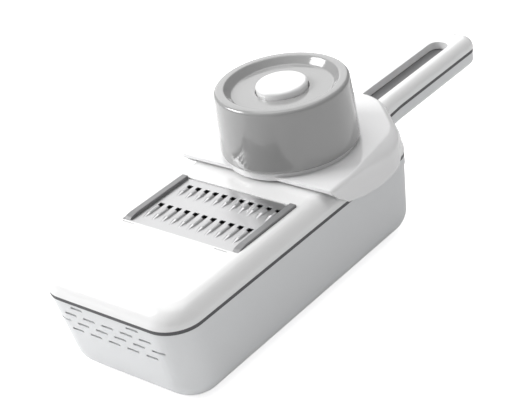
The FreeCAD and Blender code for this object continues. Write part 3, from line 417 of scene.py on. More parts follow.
# ---- Finishes -----------------------------------------------------------------------------------
@dataclass(frozen=True)
class Finish:
    """One surface finish, made into a procedural material.

    Colours are linear. Sizes in metres, grain scales per metre.
    """

    name: str
    colour: Point
    worn: Point
    roughness: float
    roughness_spread: float = 0.05
    metallic: float = 0.0
    coat: float = 0.0
    specular: float = 0.5
    grain_scale: float = 1500.0
    grain_depth: float = 0.000004
    edge_radius: float = 0.0004
    wear: float = 2.0
    hairlines: float = 0.25
    dust: float = 0.1
    brushed: float = 0.0
    glow: float = 0.0
    coat_roughness: float = 0.06
    colour_spread: float = 0.025
    cloud_share: float = 0.3
    dust_colour: tuple = (0.62, 0.61, 0.59, 1.0)
    dust_cover: float = 0.35
    hairline_dulling: float = 0.12
    wear_dulling: float = 0.15
    brush_dulling: float = 0.3
    bump_strength: float = 0.8
    smoothest: float = 0.03

    def material(self) -> bpy.types.Material:
        """Return the finish's material, built on first use."""
        found = bpy.data.materials.get(self.name)
        return found if found else self.build()

    def build(self) -> bpy.types.Material:
        """Build the node material.

        Returns:
            The material.
        """
        material = bpy.data.materials.new(self.name)
        material.use_nodes = True
        tree = material.node_tree
        tree.nodes.clear()
        nodes = Nodes(tree)
        shader = nodes.add("ShaderNodeBsdfPrincipled")
        out = nodes.add("ShaderNodeOutputMaterial")
        nodes.link(shader.outputs[0], out.inputs[0])
        shader.inputs["Metallic"].default_value = self.metallic
        shader.inputs["Specular IOR Level"].default_value = self.specular
        shader.inputs["Coat Weight"].default_value = self.coat
        shader.inputs["Coat Roughness"].default_value = self.coat_roughness
        wear = self.group(nodes, EDGE_WEAR, {"Radius": self.edge_radius, "Amount": self.wear})
        grain = self.group(nodes, MOULD_GRAIN, {"Grain Scale": self.grain_scale})
        marks = self.group(nodes, HANDLING, {"Hairlines": self.hairlines, "Dust": self.dust})
        darker = (*[c * (1 - self.colour_spread) for c in self.colour], 1.0)
        lighter = (*[min(1.0, c * (1 + self.colour_spread)) for c in self.colour], 1.0)
        clouds = nodes.math("MULTIPLY_ADD", grain.outputs["Cloud"], self.cloud_share, 0.5)
        base = nodes.mix_colour(clouds, darker, lighter)
        worn = nodes.mix_colour(wear.outputs["Wear"], base, (*self.worn, 1.0))
        dust = nodes.math("MULTIPLY", marks.outputs["Dust"], self.dust_cover)
        dusty = nodes.mix_colour(dust, worn, self.dust_colour)
        if self.glow:
            dusty = self.camera_glow(nodes, shader, dusty)
        nodes.link(dusty, shader.inputs["Base Color"])
        height = grain.outputs["Height"]
        gloss = nodes.math("MULTIPLY_ADD", grain.outputs["Cloud"], self.roughness_spread, self.roughness)
        gloss = nodes.math("MULTIPLY_ADD", marks.outputs["Hairline"], self.hairline_dulling, gloss)
        gloss = nodes.math("MULTIPLY_ADD", wear.outputs["Wear"], self.wear_dulling, gloss)
        if self.brushed:
            lines = self.group(nodes, BRUSHING, {"Line Scale": BRUSH_SCALE})
            height = nodes.math("ADD", height, nodes.math("MULTIPLY", lines.outputs["Lines"], self.brushed))
            streaks = nodes.math("SUBTRACT", lines.outputs["Lines"], 0.5)
            gloss = nodes.math("MULTIPLY_ADD", streaks, self.brush_dulling, gloss)
        nodes.link(nodes.math("MAXIMUM", gloss, self.smoothest), shader.inputs["Roughness"])
        bump = nodes.add("ShaderNodeBump", Distance=self.grain_depth, Strength=self.bump_strength)
        nodes.link(height, bump.inputs["Height"])
        nodes.link(wear.outputs["Normal"], bump.inputs["Normal"])
        nodes.link(bump.outputs[0], shader.inputs["Normal"])
        return material

    def camera_glow(self, nodes: Nodes, shader: bpy.types.Node,
                    colour: bpy.types.NodeSocket) -> bpy.types.NodeSocket:
        """Lift the surface where the camera sees it, and bounce one even colour onto the object.

        Args:
            nodes: the material's nodes.
            shader: the material's shader.
            colour: the surface's colour.

        Returns:
            The colour to use.
        """
        path = nodes.add("ShaderNodeLightPath")
        shader.inputs["Emission Color"].default_value = (1.0, 1.0, 1.0, 1.0)
        seen = nodes.math("MULTIPLY", path.outputs["Is Camera Ray"], self.glow)
        nodes.link(seen, shader.inputs["Emission Strength"])
        return nodes.mix_colour(path.outputs["Is Camera Ray"], (*self.colour, 1.0), colour)

    @staticmethod
    def group(nodes: Nodes, tree: bpy.types.NodeTree, values: dict[str, float]) -> bpy.types.Node:
        """Place a node group with its own values.

        Args:
            nodes: where it goes.
            tree: the node group.
            values: its inputs by name.

        Returns:
            The group node.
        """
        node = nodes.add("ShaderNodeGroup")
        node.node_tree = tree
        for key, value in values.items():
            node.inputs[key].default_value = value
        return node


WHITE = Finish("gloss_white_plastic", (0.86, 0.86, 0.86), (0.93, 0.93, 0.93), 0.22, coat=0.25,
               grain_depth=0.000002)
GUARD_WHITE = Finish("guard_white_plastic", (0.85, 0.85, 0.855), (0.93, 0.93, 0.93), 0.16, coat=0.4,
                     grain_depth=0.0000015, edge_radius=0.0005)
TUB_WHITE = Finish("tub_satin_plastic", (0.74, 0.75, 0.76), (0.85, 0.85, 0.86), 0.36, grain_scale=2400.0,
                   grain_depth=0.000006, edge_radius=0.0005)
KNOB_GREY = Finish("knob_grey_plastic", (0.335, 0.335, 0.335), (0.5, 0.5, 0.5), 0.13, coat=0.7,
                   grain_depth=0.000002, edge_radius=0.0003)
BUTTON_WHITE = Finish("button_white_plastic", (0.9, 0.9, 0.9), (0.95, 0.95, 0.95), 0.2, coat=0.3,
                      grain_depth=0.0000015)
SEAL_GREY = Finish("seal_grey_rubber", (0.09, 0.09, 0.095), (0.17, 0.17, 0.17), 0.55, grain_scale=3200.0,
                   grain_depth=0.00001, edge_radius=0.0002, dust=0.3)
INLAY_GREY = Finish("inlay_grey_plastic", (0.17, 0.17, 0.175), (0.2, 0.2, 0.2), 0.4, grain_scale=2600.0,
                    grain_depth=0.000008)
# Near-black finish of the sleeves under the grater holes: painted shadow in the holes
PAINTED_HOLE_SHADOW = Finish("painted_hole_shadow", (0.03, 0.03, 0.03), (0.05, 0.05, 0.05), 0.6, grain_depth=0.000004,
                   specular=0.1)
CLIP_DARK = Finish("clip_dark_plastic", (0.02, 0.02, 0.022), (0.06, 0.06, 0.06), 0.5, grain_depth=0.000006)
RAIL_GREY = Finish("rail_grey_plastic", (0.23, 0.23, 0.235), (0.5, 0.5, 0.5), 0.3, grain_depth=0.000004,
                   edge_radius=0.0005)
STEEL = Finish("satin_steel", (0.56, 0.56, 0.565), (0.8, 0.8, 0.8), 0.33, metallic=1.0, grain_depth=0.000003,
               edge_radius=0.0002, brushed=1.0, dust=0.0)
BRIGHT_STEEL = Finish("polished_steel", (0.66, 0.66, 0.67), (0.85, 0.85, 0.85), 0.16, metallic=1.0,
                      grain_depth=0.000001, edge_radius=0.00015, dust=0.0)
SPRING_STEEL = Finish("spring_steel", (0.45, 0.45, 0.47), (0.7, 0.7, 0.7), 0.26, metallic=1.0,
                      grain_depth=0.000002, edge_radius=0.0001, dust=0.0)
LINER = Finish("liner_natural_plastic", (0.72, 0.72, 0.71), (0.85, 0.85, 0.85), 0.42, grain_depth=0.000006)
FRAME_WHITE = Finish("frame_white_plastic", (0.78, 0.78, 0.78), (0.88, 0.88, 0.88), 0.4, grain_scale=2200.0,
                     grain_depth=0.000008)
FLOOR = Finish("pale_floor", (0.93, 0.93, 0.93), (0.93, 0.93, 0.93), 0.7, specular=0.1, wear=0.0,
               hairlines=0.0, dust=0.0, glow=0.7)


def dress(piece: bpy.types.Object, finish: Finish) -> None:
    """Give every material slot of a piece one finish.

    Args:
        piece: object to dress.
        finish: the finish it gets.
    """
    if not piece.data.materials:
        piece.data.materials.append(None)
    for slot in piece.material_slots:
        slot.material = finish.material()


def dress_node(name: str, finish: Finish, sharp: float = 30.0, rounding: float = 0.0) -> None:
    """Dress a CAD part that keeps its own mesh.

    Args:
        name: the CAD node.
        finish: the finish it gets.
        sharp: edges sharper than this many degrees stay crisp.
        rounding: width, in metres, of the small round put on its crisp edges, or 0.
    """
    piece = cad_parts[name]
    dress(piece, finish)
    smooth_by_angle(piece, sharp)
    if rounding:
        add_modifier(piece, "BEVEL", width=rounding, segments=EDGE_SEGMENTS, limit_method="ANGLE",
                     angle_limit=math.radians(sharp), harden_normals=False, use_clamp_overlap=True)
    add_modifier(piece, "WEIGHTED_NORMAL", keep_sharp=True, weight=NORMAL_WEIGHT)
    LOG.info("%s keeps its mesh, finish %s", name, finish.name)


def dress_nodes(finishes: dict[str, Finish]) -> None:
    """Dress CAD parts that keep their own meshes.

    Args:
        finishes: the finish of each CAD node.
    """
    for name, finish in finishes.items():
        dress_node(name, finish)


# ---- Catch tub ----------------------------------------------------------------------------------
@dataclass
class CatchTub:
    """Drain tub with its trough handle, rim seal and handle inlay."""

    nodes: dict[str, Finish] = field(default_factory=lambda: {
        "drain_tub": TUB_WHITE, "rim_seal": SEAL_GREY, "handle_inlay": INLAY_GREY,
        "inlay_screws": BRIGHT_STEEL})

    def build(self) -> None:
        """Dress the tub's parts."""
        dress_nodes(self.nodes)


# ---- Slicing board ------------------------------------------------------------------------------
@dataclass
class SlicingBoard:
    """Board with its handle, the frame under it and the clips of the insert."""

    nodes: dict[str, Finish] = field(default_factory=lambda: {
        "slicer_board": WHITE, "board_frame": FRAME_WHITE, "frame_screws": BRIGHT_STEEL,
        "insert_clips": CLIP_DARK})

    def build(self) -> None:
        """Dress the board's parts."""
        dress_nodes(self.nodes)


# ---- Grater insert ------------------------------------------------------------------------------
@dataclass
class GraterInsert:
    """Drop-out grater plate between two rails."""

    nodes: dict[str, Finish] = field(default_factory=lambda: {
        "grater_plate": STEEL, "insert_rail_left": RAIL_GREY, "insert_rail_right": RAIL_GREY})
    rows: tuple = ((0.0, 22.2 * MM), (2.4 * MM, 45.6 * MM))
    count: int = 11
    pitch: float = 6.84 * MM
    hole_width: float = 3.8 * MM
    hole_length: float = 4.4 * MM
    sheet: float = 0.8 * MM
    rail_above_plate: float = 2.0 * MM
    # Depth and wall of the dark sleeves that paint shadow under the holes
    painted_shadow_depth: float = 1.5 * MM
    painted_shadow_wall: float = 0.3 * MM
    rail_edge: float = 0.5 * MM

    def build(self) -> None:
        """Dress the insert's parts."""
        for name, finish in self.nodes.items():
            dress_node(name, finish, rounding=self.rail_edge if finish is RAIL_GREY else 0.0)
        # Dark sleeves under the holes: painted shadow that makes the holes look black, not a part of the
        # real plate
        painted_shade_wells = self.hole_painted_shadows()
        dress(painted_shade_wells, PAINTED_HOLE_SHADOW)
        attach(painted_shade_wells, Body.INSERT.value)
        LOG.info("grater insert built")

    def hole_painted_shadows(self) -> bpy.types.Object:
        """Build a dark sleeve under the rim of each hole, a painted shadow that stands in for the shade
        inside the holes.

        Returns:
            The painted shadow sleeves as one piece.
        """
        low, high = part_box("grater_plate")
        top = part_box("insert_rail_left")[1].z - self.rail_above_plate - self.sheet
        middle = (low.x + high.x) / 2
        first = middle - self.pitch * (self.count - 1) / 2
        mesh = bmesh.new()
        for shift, hole in self.rows:
            for i in range(self.count):
                centre = Vector((first + self.pitch * i + shift, low.y + hole, top))
                self.collar(mesh, centre)
        return new_piece("grater_hole_painted_shadows", mesh)

    def collar(self, mesh: bmesh.types.BMesh, centre: Vector) -> None:
        """Add one open square dark sleeve, the painted shadow of one hole, that hangs from the sheet.

        Args:
            mesh: working mesh.
            centre: middle of the hole at the sheet's underside.
        """
        rings = []
        for grow, drop in ((0.0, 0.0), (0.0, self.painted_shadow_depth), (self.painted_shadow_wall, self.painted_shadow_depth),
                           (self.painted_shadow_wall, 0.0)):
            half_x, half_y = self.hole_width / 2 + grow, self.hole_length / 2 + grow
            corners = ((half_x, half_y), (-half_x, half_y), (-half_x, -half_y), (half_x, -half_y))
            rings.append([mesh.verts.new((centre.x + x, centre.y + y, centre.z - drop)) for x, y in corners])
        for ring, following in zip(rings, rings[1:] + rings[:1]):
            bridge(mesh, ring, following, True)


# ---- Hand guard ---------------------------------------------------------------------------------
@dataclass
class HandGuard:
    """Saddle-shaped guard with skirts, an egg-shaped tail and the collar that guides the knob."""

    sheet: float = 2.2 * MM
    front_bend: float = 2.8 * MM
    side_bend: float = 10.5 * MM
    bend_start: float = 45.0 * MM
    bend_run: float = 48.0 * MM
    tail_bend: float = 5.0 * MM
    shoulder_reach: float = 38.4 * MM
    shoulder_round: float = 35.0 * MM
    tail_reach: float = 87.7 * MM
    tail_round: float = 38.0 * MM
    front_reach: float = 37.5 * MM
    top_height: float = 72.5 * MM
    plinth_radius: float = 41.0 * MM
    plinth_height: float = 2.7 * MM
    plinth_depth: float = 2.6 * MM
    runner_inner: float = 45.2 * MM
    runner_width: float = 1.8 * MM
    runner_base: float = 68.25 * MM
    runner_reach: tuple = (4.0 * MM, 71.0 * MM)
    bore: float = 33.6 * MM
    collar: float = 35.6 * MM
    skirt_points: tuple = ((0.2, 2.4), (7.2, 9.0), (15.2, 15.0), (33.2, 19.5), (48.0, 21.0), (64.0, 19.6),
                           (73.5, 15.0), (80.8, 7.6), (86.0, 3.6), (92.0, 3.0), (120.0, 2.9))
    closing_start: float = 20.0 * MM
    closing_run: float = 50.0 * MM
    opening_overlap: float = 0.6 * MM
    rim_bevel: float = 0.7 * MM
    rim_angle: float = 50.0
    runner_bevel: float = 0.35 * MM
    groove_depth: float = 0.8 * MM
    groove_round: float = 0.1 * MM
    plinth_round: float = 1.1 * MM
    fillet_reach: float = 1.2 * MM
    fillet_height: float = 0.6 * MM
    fine_round: float = 0.3 * MM
    lip_round: float = 0.5 * MM
    bevel_segments: int = 3
    side_steps: int = 40
    tail_side_steps: int = 6
    shoulder_steps: int = 26
    tail_steps: int = 44
    front_steps: int = 48
    skirt_steps: int = 4
    bend_steps: int = 9
    flat_steps: int = 5
    edge_fan: float = 0.02
    edge_fan_end: float = 0.92

    def __post_init__(self) -> None:
        """Read the places of the guard's parts from the CAD boxes."""
        low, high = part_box("guard_saddle")
        self.half = high.x
        ring_low, ring_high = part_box("retainer_ring")
        self.axis = Vector(((ring_low.x + ring_high.x) / 2, (ring_low.y + ring_high.y) / 2, 0.0))
        self.front = self.axis.y - self.front_reach
        self.collar_top = high.z
        self.ring_low = ring_low.z
        self.ring_high = ring_high.z

    def drop_limit(self, y: float) -> float:
        """How far below the top the sheet's lower edge is at a place along the slicer.

        Args:
            y: place along the slicer.

        Returns:
            Distance below the top, in metres.
        """
        along = (y - self.front) / MM
        points = self.skirt_points
        if along <= points[0][0]:
            return points[0][1] * MM
        for (a, da), (b, db) in zip(points, points[1:]):
            if along <= b:
                t = (along - a) / (b - a)
                t = (self.ease(t) + t) / 2
                return (da + (db - da) * t) * MM
        return points[-1][1] * MM

    def outline(self) -> list:
        """Outline of the sides and the tail, from the right front corner round to the left.

        Returns:
            (point, outward normal, bend radius) for each rib.
        """
        shoulder = Vector((self.half, self.axis.y + self.shoulder_reach))
        tail = Vector((0.0, self.axis.y + self.tail_reach))
        mirror = Vector((-shoulder.x, shoulder.y))
        start = Vector((self.half, self.front))
        finish = Vector((-start.x, start.y))
        corners = [(shoulder, start, tail, self.shoulder_round, self.shoulder_steps),
                   (tail, shoulder, mirror, self.tail_round, self.tail_steps),
                   (mirror, tail, finish, self.shoulder_round, self.shoulder_steps)]
        path = [start]
        for here, before, after, radius, steps in corners:
            back, ahead = (before - here).normalized(), (after - here).normalized()
            half = back.angle(ahead) / 2
            run = radius / math.tan(half)
            centre = here + (back + ahead).normalized() * (radius / math.sin(half))
            first, last = here + back * run - centre, here + ahead * run - centre
            a0, a1 = math.atan2(first.y, first.x), math.atan2(last.y, last.x)
            sweep = (a1 - a0 + math.pi) % math.tau - math.pi
            straight = self.side_steps if len(path) == 1 else self.tail_side_steps
            path.extend(self.spans(path[-1], centre + first, straight))
            for k in range(1, steps + 1):
                a = a0 + sweep * k / steps
                path.append(centre + Vector((math.cos(a), math.sin(a))) * radius)
        path.extend(self.spans(path[-1], finish, self.side_steps))
        ribs = []
        for i, point in enumerate(path):
            before, after = path[max(i - 1, 0)], path[min(i + 1, len(path) - 1)]
            along = (after - before).normalized()
            outward = Vector((along.y, -along.x))
            ribs.append((point, outward, self.bend_radius(point.y)))
        return ribs

    def bend_radius(self, y: float) -> float:
        """Radius of the bend into the skirts: tight at the front, broad beside the knob, less at the tail.

        Args:
            y: place along the slicer.

        Returns:
            The radius, in metres.
        """
        opening = self.ease((y - self.bend_start) / self.bend_run)
        closing = self.ease((y - self.axis.y - self.closing_start) / self.closing_run)
        broad = self.front_bend + (self.side_bend - self.front_bend) * opening
        return broad + (self.tail_bend - broad) * closing

    @staticmethod
    def ease(share: float) -> float:
        """Smooth step from 0 to 1.

        Args:
            share: how far along, clamped to 0 and 1.

        Returns:
            The eased share.
        """
        share = min(max(share, 0.0), 1.0)
        return share * share * (3 - 2 * share)

    @staticmethod
    def spans(first: Vector, last: Vector, count: int) -> list:
        """Evenly spaced points after the first, up to the last.

        Args:
            first: start, left out.
            last: end, kept.
            count: number of spans.

        Returns:
            The points.
        """
        return [first.lerp(last, k / count) for k in range(1, count + 1)]

    def rib(self, point: Vector, outward: Vector, bend: float) -> list:
        """Points from the lower edge of the sheet up to where it turns flat.

        Args:
            point: place on the outline.
            outward: outward direction there.
            bend: radius of the bend.

        Returns:
            The rib's points, lowest first.
        """
        limit = self.drop_limit(point.y)
        points = []
        if limit > bend:
            for k in range(self.skirt_steps):
                depth = limit - (limit - bend) * k / self.skirt_steps
                points.append(Vector((point.x, point.y, self.top_height - depth)))
            last = math.pi / 2
        else:
            last = math.acos(1 - limit / bend)
            for k in range(self.skirt_steps):
                a = last * (1 - self.edge_fan * k)
                points.append(self.bend_point(point, outward, bend, a))
            last *= self.edge_fan_end
        for k in range(self.bend_steps + 1):
            points.append(self.bend_point(point, outward, bend, last * (1 - k / self.bend_steps)))
        return points

    def bend_point(self, point: Vector, outward: Vector, bend: float, angle: float) -> Vector:
        """Find a point on the bend.

        Args:
            point: place on the outline.
            outward: outward direction there.
            bend: radius of the bend.
            angle: angle from the flat, in radians.

        Returns:
            The point.
        """
        inset = bend * (1 - math.sin(angle))
        depth = bend * (1 - math.cos(angle))
        return Vector((point.x - outward.x * inset, point.y - outward.y * inset, self.top_height - depth))

    def saddle(self) -> bpy.types.Object:
        """Build the sheet: bent sides and tail, flat top with a round opening.

        Returns:
            The saddle piece.
        """
        mesh = bmesh.new()
        ribs = [[mesh.verts.new(p) for p in self.rib(*given)] for given in self.outline()]
        for rib, following in zip(ribs, ribs[1:]):
            bridge(mesh, rib, following, False)
        crease = [rib[-1] for rib in ribs]
        left, right = crease[-1].co.copy(), crease[0].co.copy()
        front = [mesh.verts.new(p) for p in self.spans(left, right, self.front_steps)[:-1]]
        ring = crease + front
        inner_radius = self.collar - self.opening_overlap
        rows = [ring]
        targets = []
        for vertex in ring:
            direction = (vertex.co - self.axis).to_2d().normalized()
            inner = self.axis.to_2d() + direction * inner_radius
            targets.append(Vector((inner.x, inner.y, self.top_height)))
        for k in range(1, self.flat_steps + 1):
            t = k / self.flat_steps
            rows.append([mesh.verts.new(v.co.lerp(goal, t)) for v, goal in zip(ring, targets)])
        for row, following in zip(rows, rows[1:]):
            bridge(mesh, row, following, True)
        bmesh.ops.recalc_face_normals(mesh, faces=mesh.faces)
        if sum(face.normal.z for face in mesh.faces) < 0:
            bmesh.ops.reverse_faces(mesh, faces=mesh.faces)
        saddle = new_piece("guard_saddle_sheet", mesh, 60.0)
        add_modifier(saddle, "SOLIDIFY", thickness=self.sheet, offset=-1.0, use_even_offset=True,
                     use_quality_normals=True)
        add_modifier(saddle, "BEVEL", width=self.rim_bevel, segments=self.bevel_segments,
                     limit_method="ANGLE", angle_limit=math.radians(self.rim_angle))
        return saddle

    def throat(self) -> bpy.types.Object:
        """Build the collar with its snap groove and the plinth round its foot.

        Returns:
            The throat piece.
        """
        top = self.top_height + self.plinth_height
        base = self.top_height - self.plinth_depth
        groove = self.collar - self.groove_depth
        profile = round_profile([
            (self.bore, base, self.lip_round), (self.plinth_radius, base, self.fine_round),
            (self.plinth_radius, top, self.plinth_round),
            (self.collar + self.fillet_reach, top, self.fine_round),
            (self.collar, top + self.fillet_height, 0.0), (self.collar, self.ring_low, self.groove_round),
            (groove, self.ring_low, 0.0), (groove, self.ring_high, 0.0),
            (self.collar, self.ring_high, self.groove_round), (self.collar, self.collar_top, self.lip_round),
            (self.bore, self.collar_top, self.lip_round)])
        mesh = bmesh.new()
        turn(mesh, profile, self.axis)
        return new_piece("guard_throat_collar", mesh)

    def runners(self) -> bpy.types.Object:
        """Build the two thin runners under the sheet that ride on the board.

        Returns:
            The runners as one piece.
        """
        mesh = bmesh.new()
        height = self.top_height - self.sheet / 2 - self.runner_base
        start, end = (self.front + reach for reach in self.runner_reach)
        for side in (-1, 1):
            middle = Vector((side * (self.runner_inner + self.runner_width / 2), (start + end) / 2,
                             self.runner_base + height / 2))
            size = Matrix.Diagonal((self.runner_width, end - start, height, 1.0))
            bmesh.ops.create_cube(mesh, size=1.0, matrix=Matrix.Translation(middle) @ size)
        piece = new_piece("guard_runners", mesh)
        add_modifier(piece, "BEVEL", width=self.runner_bevel, segments=self.bevel_segments)
        return piece

    def build(self) -> None:
        """Build and dress the guard."""
        saddle = self.saddle()
        for piece in (saddle, self.throat(), self.runners()):
            dress(piece, GUARD_WHITE)
            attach(piece, Body.GUARD.value)
        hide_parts("guard_saddle")
        dress_node("retainer_ring", LINER)
        LOG.info("hand guard built")


# ---- Pusher knob --------------------------------------------------------------------------------
@dataclass
class PusherKnob:
    """Palm knob with a broad rounded rim and a dished top, and the pusher under it."""

    rim_round: float = 4.2 * MM
    wall: float = 2.4 * MM
    dish_rim: float = 35.4 * MM
    dish_floor: float = 29.8 * MM
    dish_depth: float = 4.5 * MM
    base_radius: float = 43.2 * MM
    top_radius: float = 41.5 * MM
    button_hole: float = 16.5 * MM
    fine_round: float = 0.3 * MM
    foot_lean: float = 0.2 * MM
    foot_height: float = 1.6 * MM
    foot_rounds: tuple = (0.7 * MM, 0.5 * MM)
    dish_slope: float = 1.4 * MM
    dish_rounds: tuple = (1.8 * MM, 2.2 * MM)
    hole_round: float = 0.5 * MM
    ceiling_inset: float = 1.0 * MM
    ceiling_drop: float = 1.5 * MM
    ceiling_rounds: tuple = (0.4 * MM, 1.2 * MM)
    post_circle: float = 22.5 * MM
    post_radius: float = 3.6 * MM
    post_bore: float = 1.5 * MM
    post_overlap: float = 0.6 * MM
    post_count: int = 3
    post_start: float = 90.0
    turn_steps: int = 160
    post_steps: int = 32
    round_steps: int = 10
    nodes: dict[str, Finish] = field(default_factory=lambda: {
        "knob_liner": LINER, "pusher_plate": FRAME_WHITE, "food_pins": BRIGHT_STEEL,
        "pusher_screws": BRIGHT_STEEL, "button_spring": SPRING_STEEL})

    def __post_init__(self) -> None:
        """Read the knob's place from its CAD box."""
        low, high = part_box("knob_shell")
        self.axis = Vector(((low.x + high.x) / 2, (low.y + high.y) / 2, 0.0))
        self.base, self.top = low.z, high.z
        self.post_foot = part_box("pusher_plate")[1].z

    def shell(self) -> bpy.types.Object:
        """Build the turned shell with its three posts.

        Returns:
            The shell piece.
        """
        floor = self.top - self.dish_depth
        ceiling = floor - self.wall
        inner_top = self.top_radius - self.wall
        profile = round_profile([
            (self.base_radius - self.wall, self.base, self.fine_round),
            (self.base_radius - self.foot_lean, self.base, self.foot_rounds[0]),
            (self.base_radius, self.base + self.foot_height, self.foot_rounds[1]),
            (self.top_radius, self.top, self.rim_round),
            (self.dish_rim, self.top, self.dish_rounds[0]),
            (self.dish_floor + self.dish_slope, floor, self.dish_rounds[1]),
            (self.button_hole, floor, self.hole_round),
            (self.button_hole, ceiling, self.fine_round),
            (self.dish_floor - self.ceiling_inset, ceiling, self.ceiling_rounds[0]),
            (inner_top, ceiling - self.ceiling_drop, self.ceiling_rounds[1])], self.round_steps)
        mesh = bmesh.new()
        turn(mesh, profile, self.axis, self.turn_steps)
        post_top = ceiling + self.post_overlap
        post = [(self.post_bore, self.post_foot), (self.post_radius, self.post_foot),
                (self.post_radius, post_top), (self.post_bore, post_top)]
        for i in range(self.post_count):
            a = math.radians(self.post_start + 360 / self.post_count * i)
            foot = self.axis + Vector((math.cos(a), math.sin(a), 0.0)) * self.post_circle
            turn(mesh, post, foot, self.post_steps)
        return new_piece("knob_shell_turned", mesh, 40.0)

    def build(self) -> None:
        """Build and dress the knob and the pusher."""
        shell = self.shell()
        dress(shell, KNOB_GREY)
        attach(shell, Body.PUSHER.value)
        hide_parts("knob_shell")
        dress_nodes(self.nodes)
        LOG.info("pusher knob built")


# ---- Eject button -------------------------------------------------------------------------------
@dataclass
class EjectButton:
    """Domed button with the stem and the stripper disc."""

    radius: float = 16.0 * MM
    dome: float = 1.1 * MM
    wall: float = 2.0 * MM
    edge_round: float = 2.0 * MM
    dome_steps: int = 12
    edge_steps: int = 6
    flange_radius: float = 17.8 * MM
    flange: float = 1.3 * MM
    nodes: dict[str, Finish] = field(default_factory=lambda: {
        "button_stem": BRIGHT_STEEL, "stem_clip": LINER, "stripper_disc": FRAME_WHITE,
        "stem_screw": BRIGHT_STEEL})

    def build(self) -> None:
        """Build and dress the button and its stem."""
        low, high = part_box("eject_button")
        axis = Vector(((low.x + high.x) / 2, (low.y + high.y) / 2, 0.0))
        sphere = (self.radius ** 2 + self.dome ** 2) / (2 * self.dome)
        edge = high.z - self.dome
        dome = []
        for k in range(self.dome_steps + 1):
            r = (self.radius - self.edge_round) * k / self.dome_steps
            dome.append((r, high.z - sphere + math.sqrt(sphere ** 2 - r ** 2)))
        shoulder = dome[-1][1]
        lip = []
        for k in range(1, self.edge_steps + 1):
            a = math.pi / 2 * k / self.edge_steps
            lip.append((self.radius - self.edge_round * (1 - math.sin(a)),
                        shoulder - self.edge_round * (1 - math.cos(a))))
        bore = self.radius - self.wall
        flange_top = low.z + self.flange
        ceiling = edge - self.wall
        inner = [(self.radius, flange_top), (self.flange_radius, flange_top), (self.flange_radius, low.z),
                 (bore, low.z), (bore, ceiling), (0.0, ceiling)]
        mesh = bmesh.new()
        turn(mesh, dome + lip + inner, axis)
        cap = new_piece("eject_button_cap", mesh, 45.0)
        dress(cap, BUTTON_WHITE)
        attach(cap, Body.BUTTON.value)
        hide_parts("eject_button")
        dress_nodes(self.nodes)
        LOG.info("eject button built")


# ---- Studio -------------------------------------------------------------------------------------
@dataclass(frozen=True)
class SoftLight:
    """A square soft light aimed at the slicer."""

    name: str
    place: Point
    size: float
    power: float

    def build(self, aim: Vector) -> None:
        """Add the light.

        Args:
            aim: the point that it faces.
        """
        data = bpy.data.lights.new(self.name, "AREA")
        data.shape = "SQUARE"
        data.size = self.size
        data.energy = self.power
        light = bpy.data.objects.new(self.name, data)
        light.location = self.place
        light.rotation_euler = (aim - Vector(self.place)).to_track_quat("-Z", "Y").to_euler()
        bpy.context.scene.collection.objects.link(light)


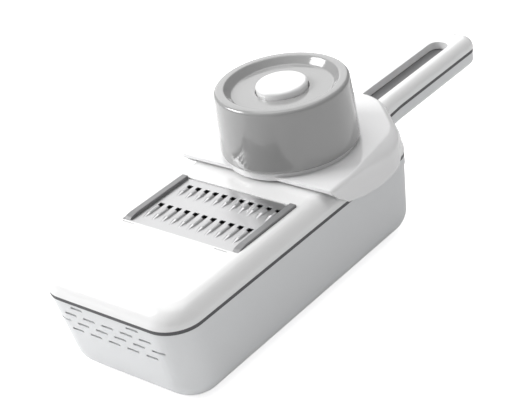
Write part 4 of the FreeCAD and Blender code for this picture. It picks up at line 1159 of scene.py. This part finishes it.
@dataclass
class Studio:
    """Pale floor, soft lights, grey to white surroundings and the camera."""

    camera_place: Point = (0.5406, -0.5396, 0.4980)
    right: Point = (0.76972, 0.61927, -0.15504)
    up: Point = (-0.21241, 0.47747, 0.85258)
    ahead: Point = (-0.60200, 0.62332, -0.49906)
    lens: float = 104.32
    sensor: float = 36.0
    near: float = 0.05
    far: float = 30.0
    aim: Point = (0.0, 0.05, 0.06)
    floor_size: float = 6.0
    floor_drop: float = 0.2 * MM
    world_strength: float = 0.6
    # Height from 0 (below) to 1 (overhead) and the grey there
    world_shades: tuple = ((0.42, 0.14), (0.95, 1.0))
    lights: tuple = (SoftLight("key_left_front", (-1.3, -0.75, 1.15), 0.9, 27.0),
                     SoftLight("back_left_panel", (-1.2, 1.25, 0.85), 1.5, 8.0),
                     SoftLight("top_panel", (-0.1, 0.2, 1.7), 1.3, 8.0))

    def build(self) -> None:
        """Set up the studio."""
        scene = bpy.context.scene
        scene.view_settings.view_transform = "Standard"
        for light in self.lights:
            light.build(Vector(self.aim))
        self.world(scene)
        self.floor()
        self.camera(scene)

    def world(self, scene: bpy.types.Scene) -> None:
        """Surroundings that are dim at the sides and bright overhead, and plain white where they are seen.

        Args:
            scene: the scene that gets the world.
        """
        world = bpy.data.worlds.new("white_studio")
        world.use_nodes = True
        scene.world = world
        world.node_tree.nodes.clear()
        nodes = Nodes(world.node_tree)
        place = nodes.add("ShaderNodeTexCoord")
        split = nodes.add("ShaderNodeSeparateXYZ")
        nodes.link(place.outputs["Generated"], split.inputs[0])
        ramp = nodes.add("ShaderNodeValToRGB")
        for stop, (height, grey) in zip(ramp.color_ramp.elements, self.world_shades):
            stop.position = height
            stop.color = (grey, grey, grey, 1.0)
        nodes.link(nodes.math("MULTIPLY_ADD", split.outputs["Z"], 0.5, 0.5), ramp.inputs[0])
        lit = nodes.add("ShaderNodeBackground", Strength=self.world_strength)
        nodes.link(ramp.outputs[0], lit.inputs["Color"])
        seen = nodes.add("ShaderNodeBackground", Strength=1.0)
        seen.inputs["Color"].default_value = (1.0, 1.0, 1.0, 1.0)
        path = nodes.add("ShaderNodeLightPath")
        mix = nodes.add("ShaderNodeMixShader")
        nodes.link(path.outputs["Is Camera Ray"], mix.inputs[0])
        nodes.link(lit.outputs[0], mix.inputs[1])
        nodes.link(seen.outputs[0], mix.inputs[2])
        out = nodes.add("ShaderNodeOutputWorld")
        nodes.link(mix.outputs[0], out.inputs[0])

    def floor(self) -> None:
        """Lay a large flat pale floor."""
        mesh = bmesh.new()
        bmesh.ops.create_grid(mesh, x_segments=8, y_segments=8, size=self.floor_size)
        floor = new_piece("studio_floor", mesh)
        floor.location = (0.0, 0.0, -self.floor_drop)
        dress(floor, FLOOR)

    def camera(self, scene: bpy.types.Scene) -> None:
        """Place the camera.

        Args:
            scene: the scene that gets the camera.
        """
        data = bpy.data.cameras.new("studio_camera")
        data.lens = self.lens
        data.sensor_width = self.sensor
        data.sensor_fit = "HORIZONTAL"
        data.clip_start, data.clip_end = self.near, self.far
        camera = bpy.data.objects.new("studio_camera", data)
        axes = Matrix((self.right, self.up, tuple(-v for v in self.ahead))).transposed()
        camera.matrix_world = Matrix.Translation(self.camera_place) @ axes.to_4x4()
        scene.collection.objects.link(camera)
        scene.camera = camera


def main() -> None:
    """Build the slicer piece by piece, then the studio."""
    logging.basicConfig(level=logging.INFO, format="%(name)s: %(message)s")
    for assembly in (CatchTub(), SlicingBoard(), GraterInsert(), HandGuard(), PusherKnob(), EjectButton()):
        assembly.build()
    Studio().build()


if __name__ == "__main__":
    main()
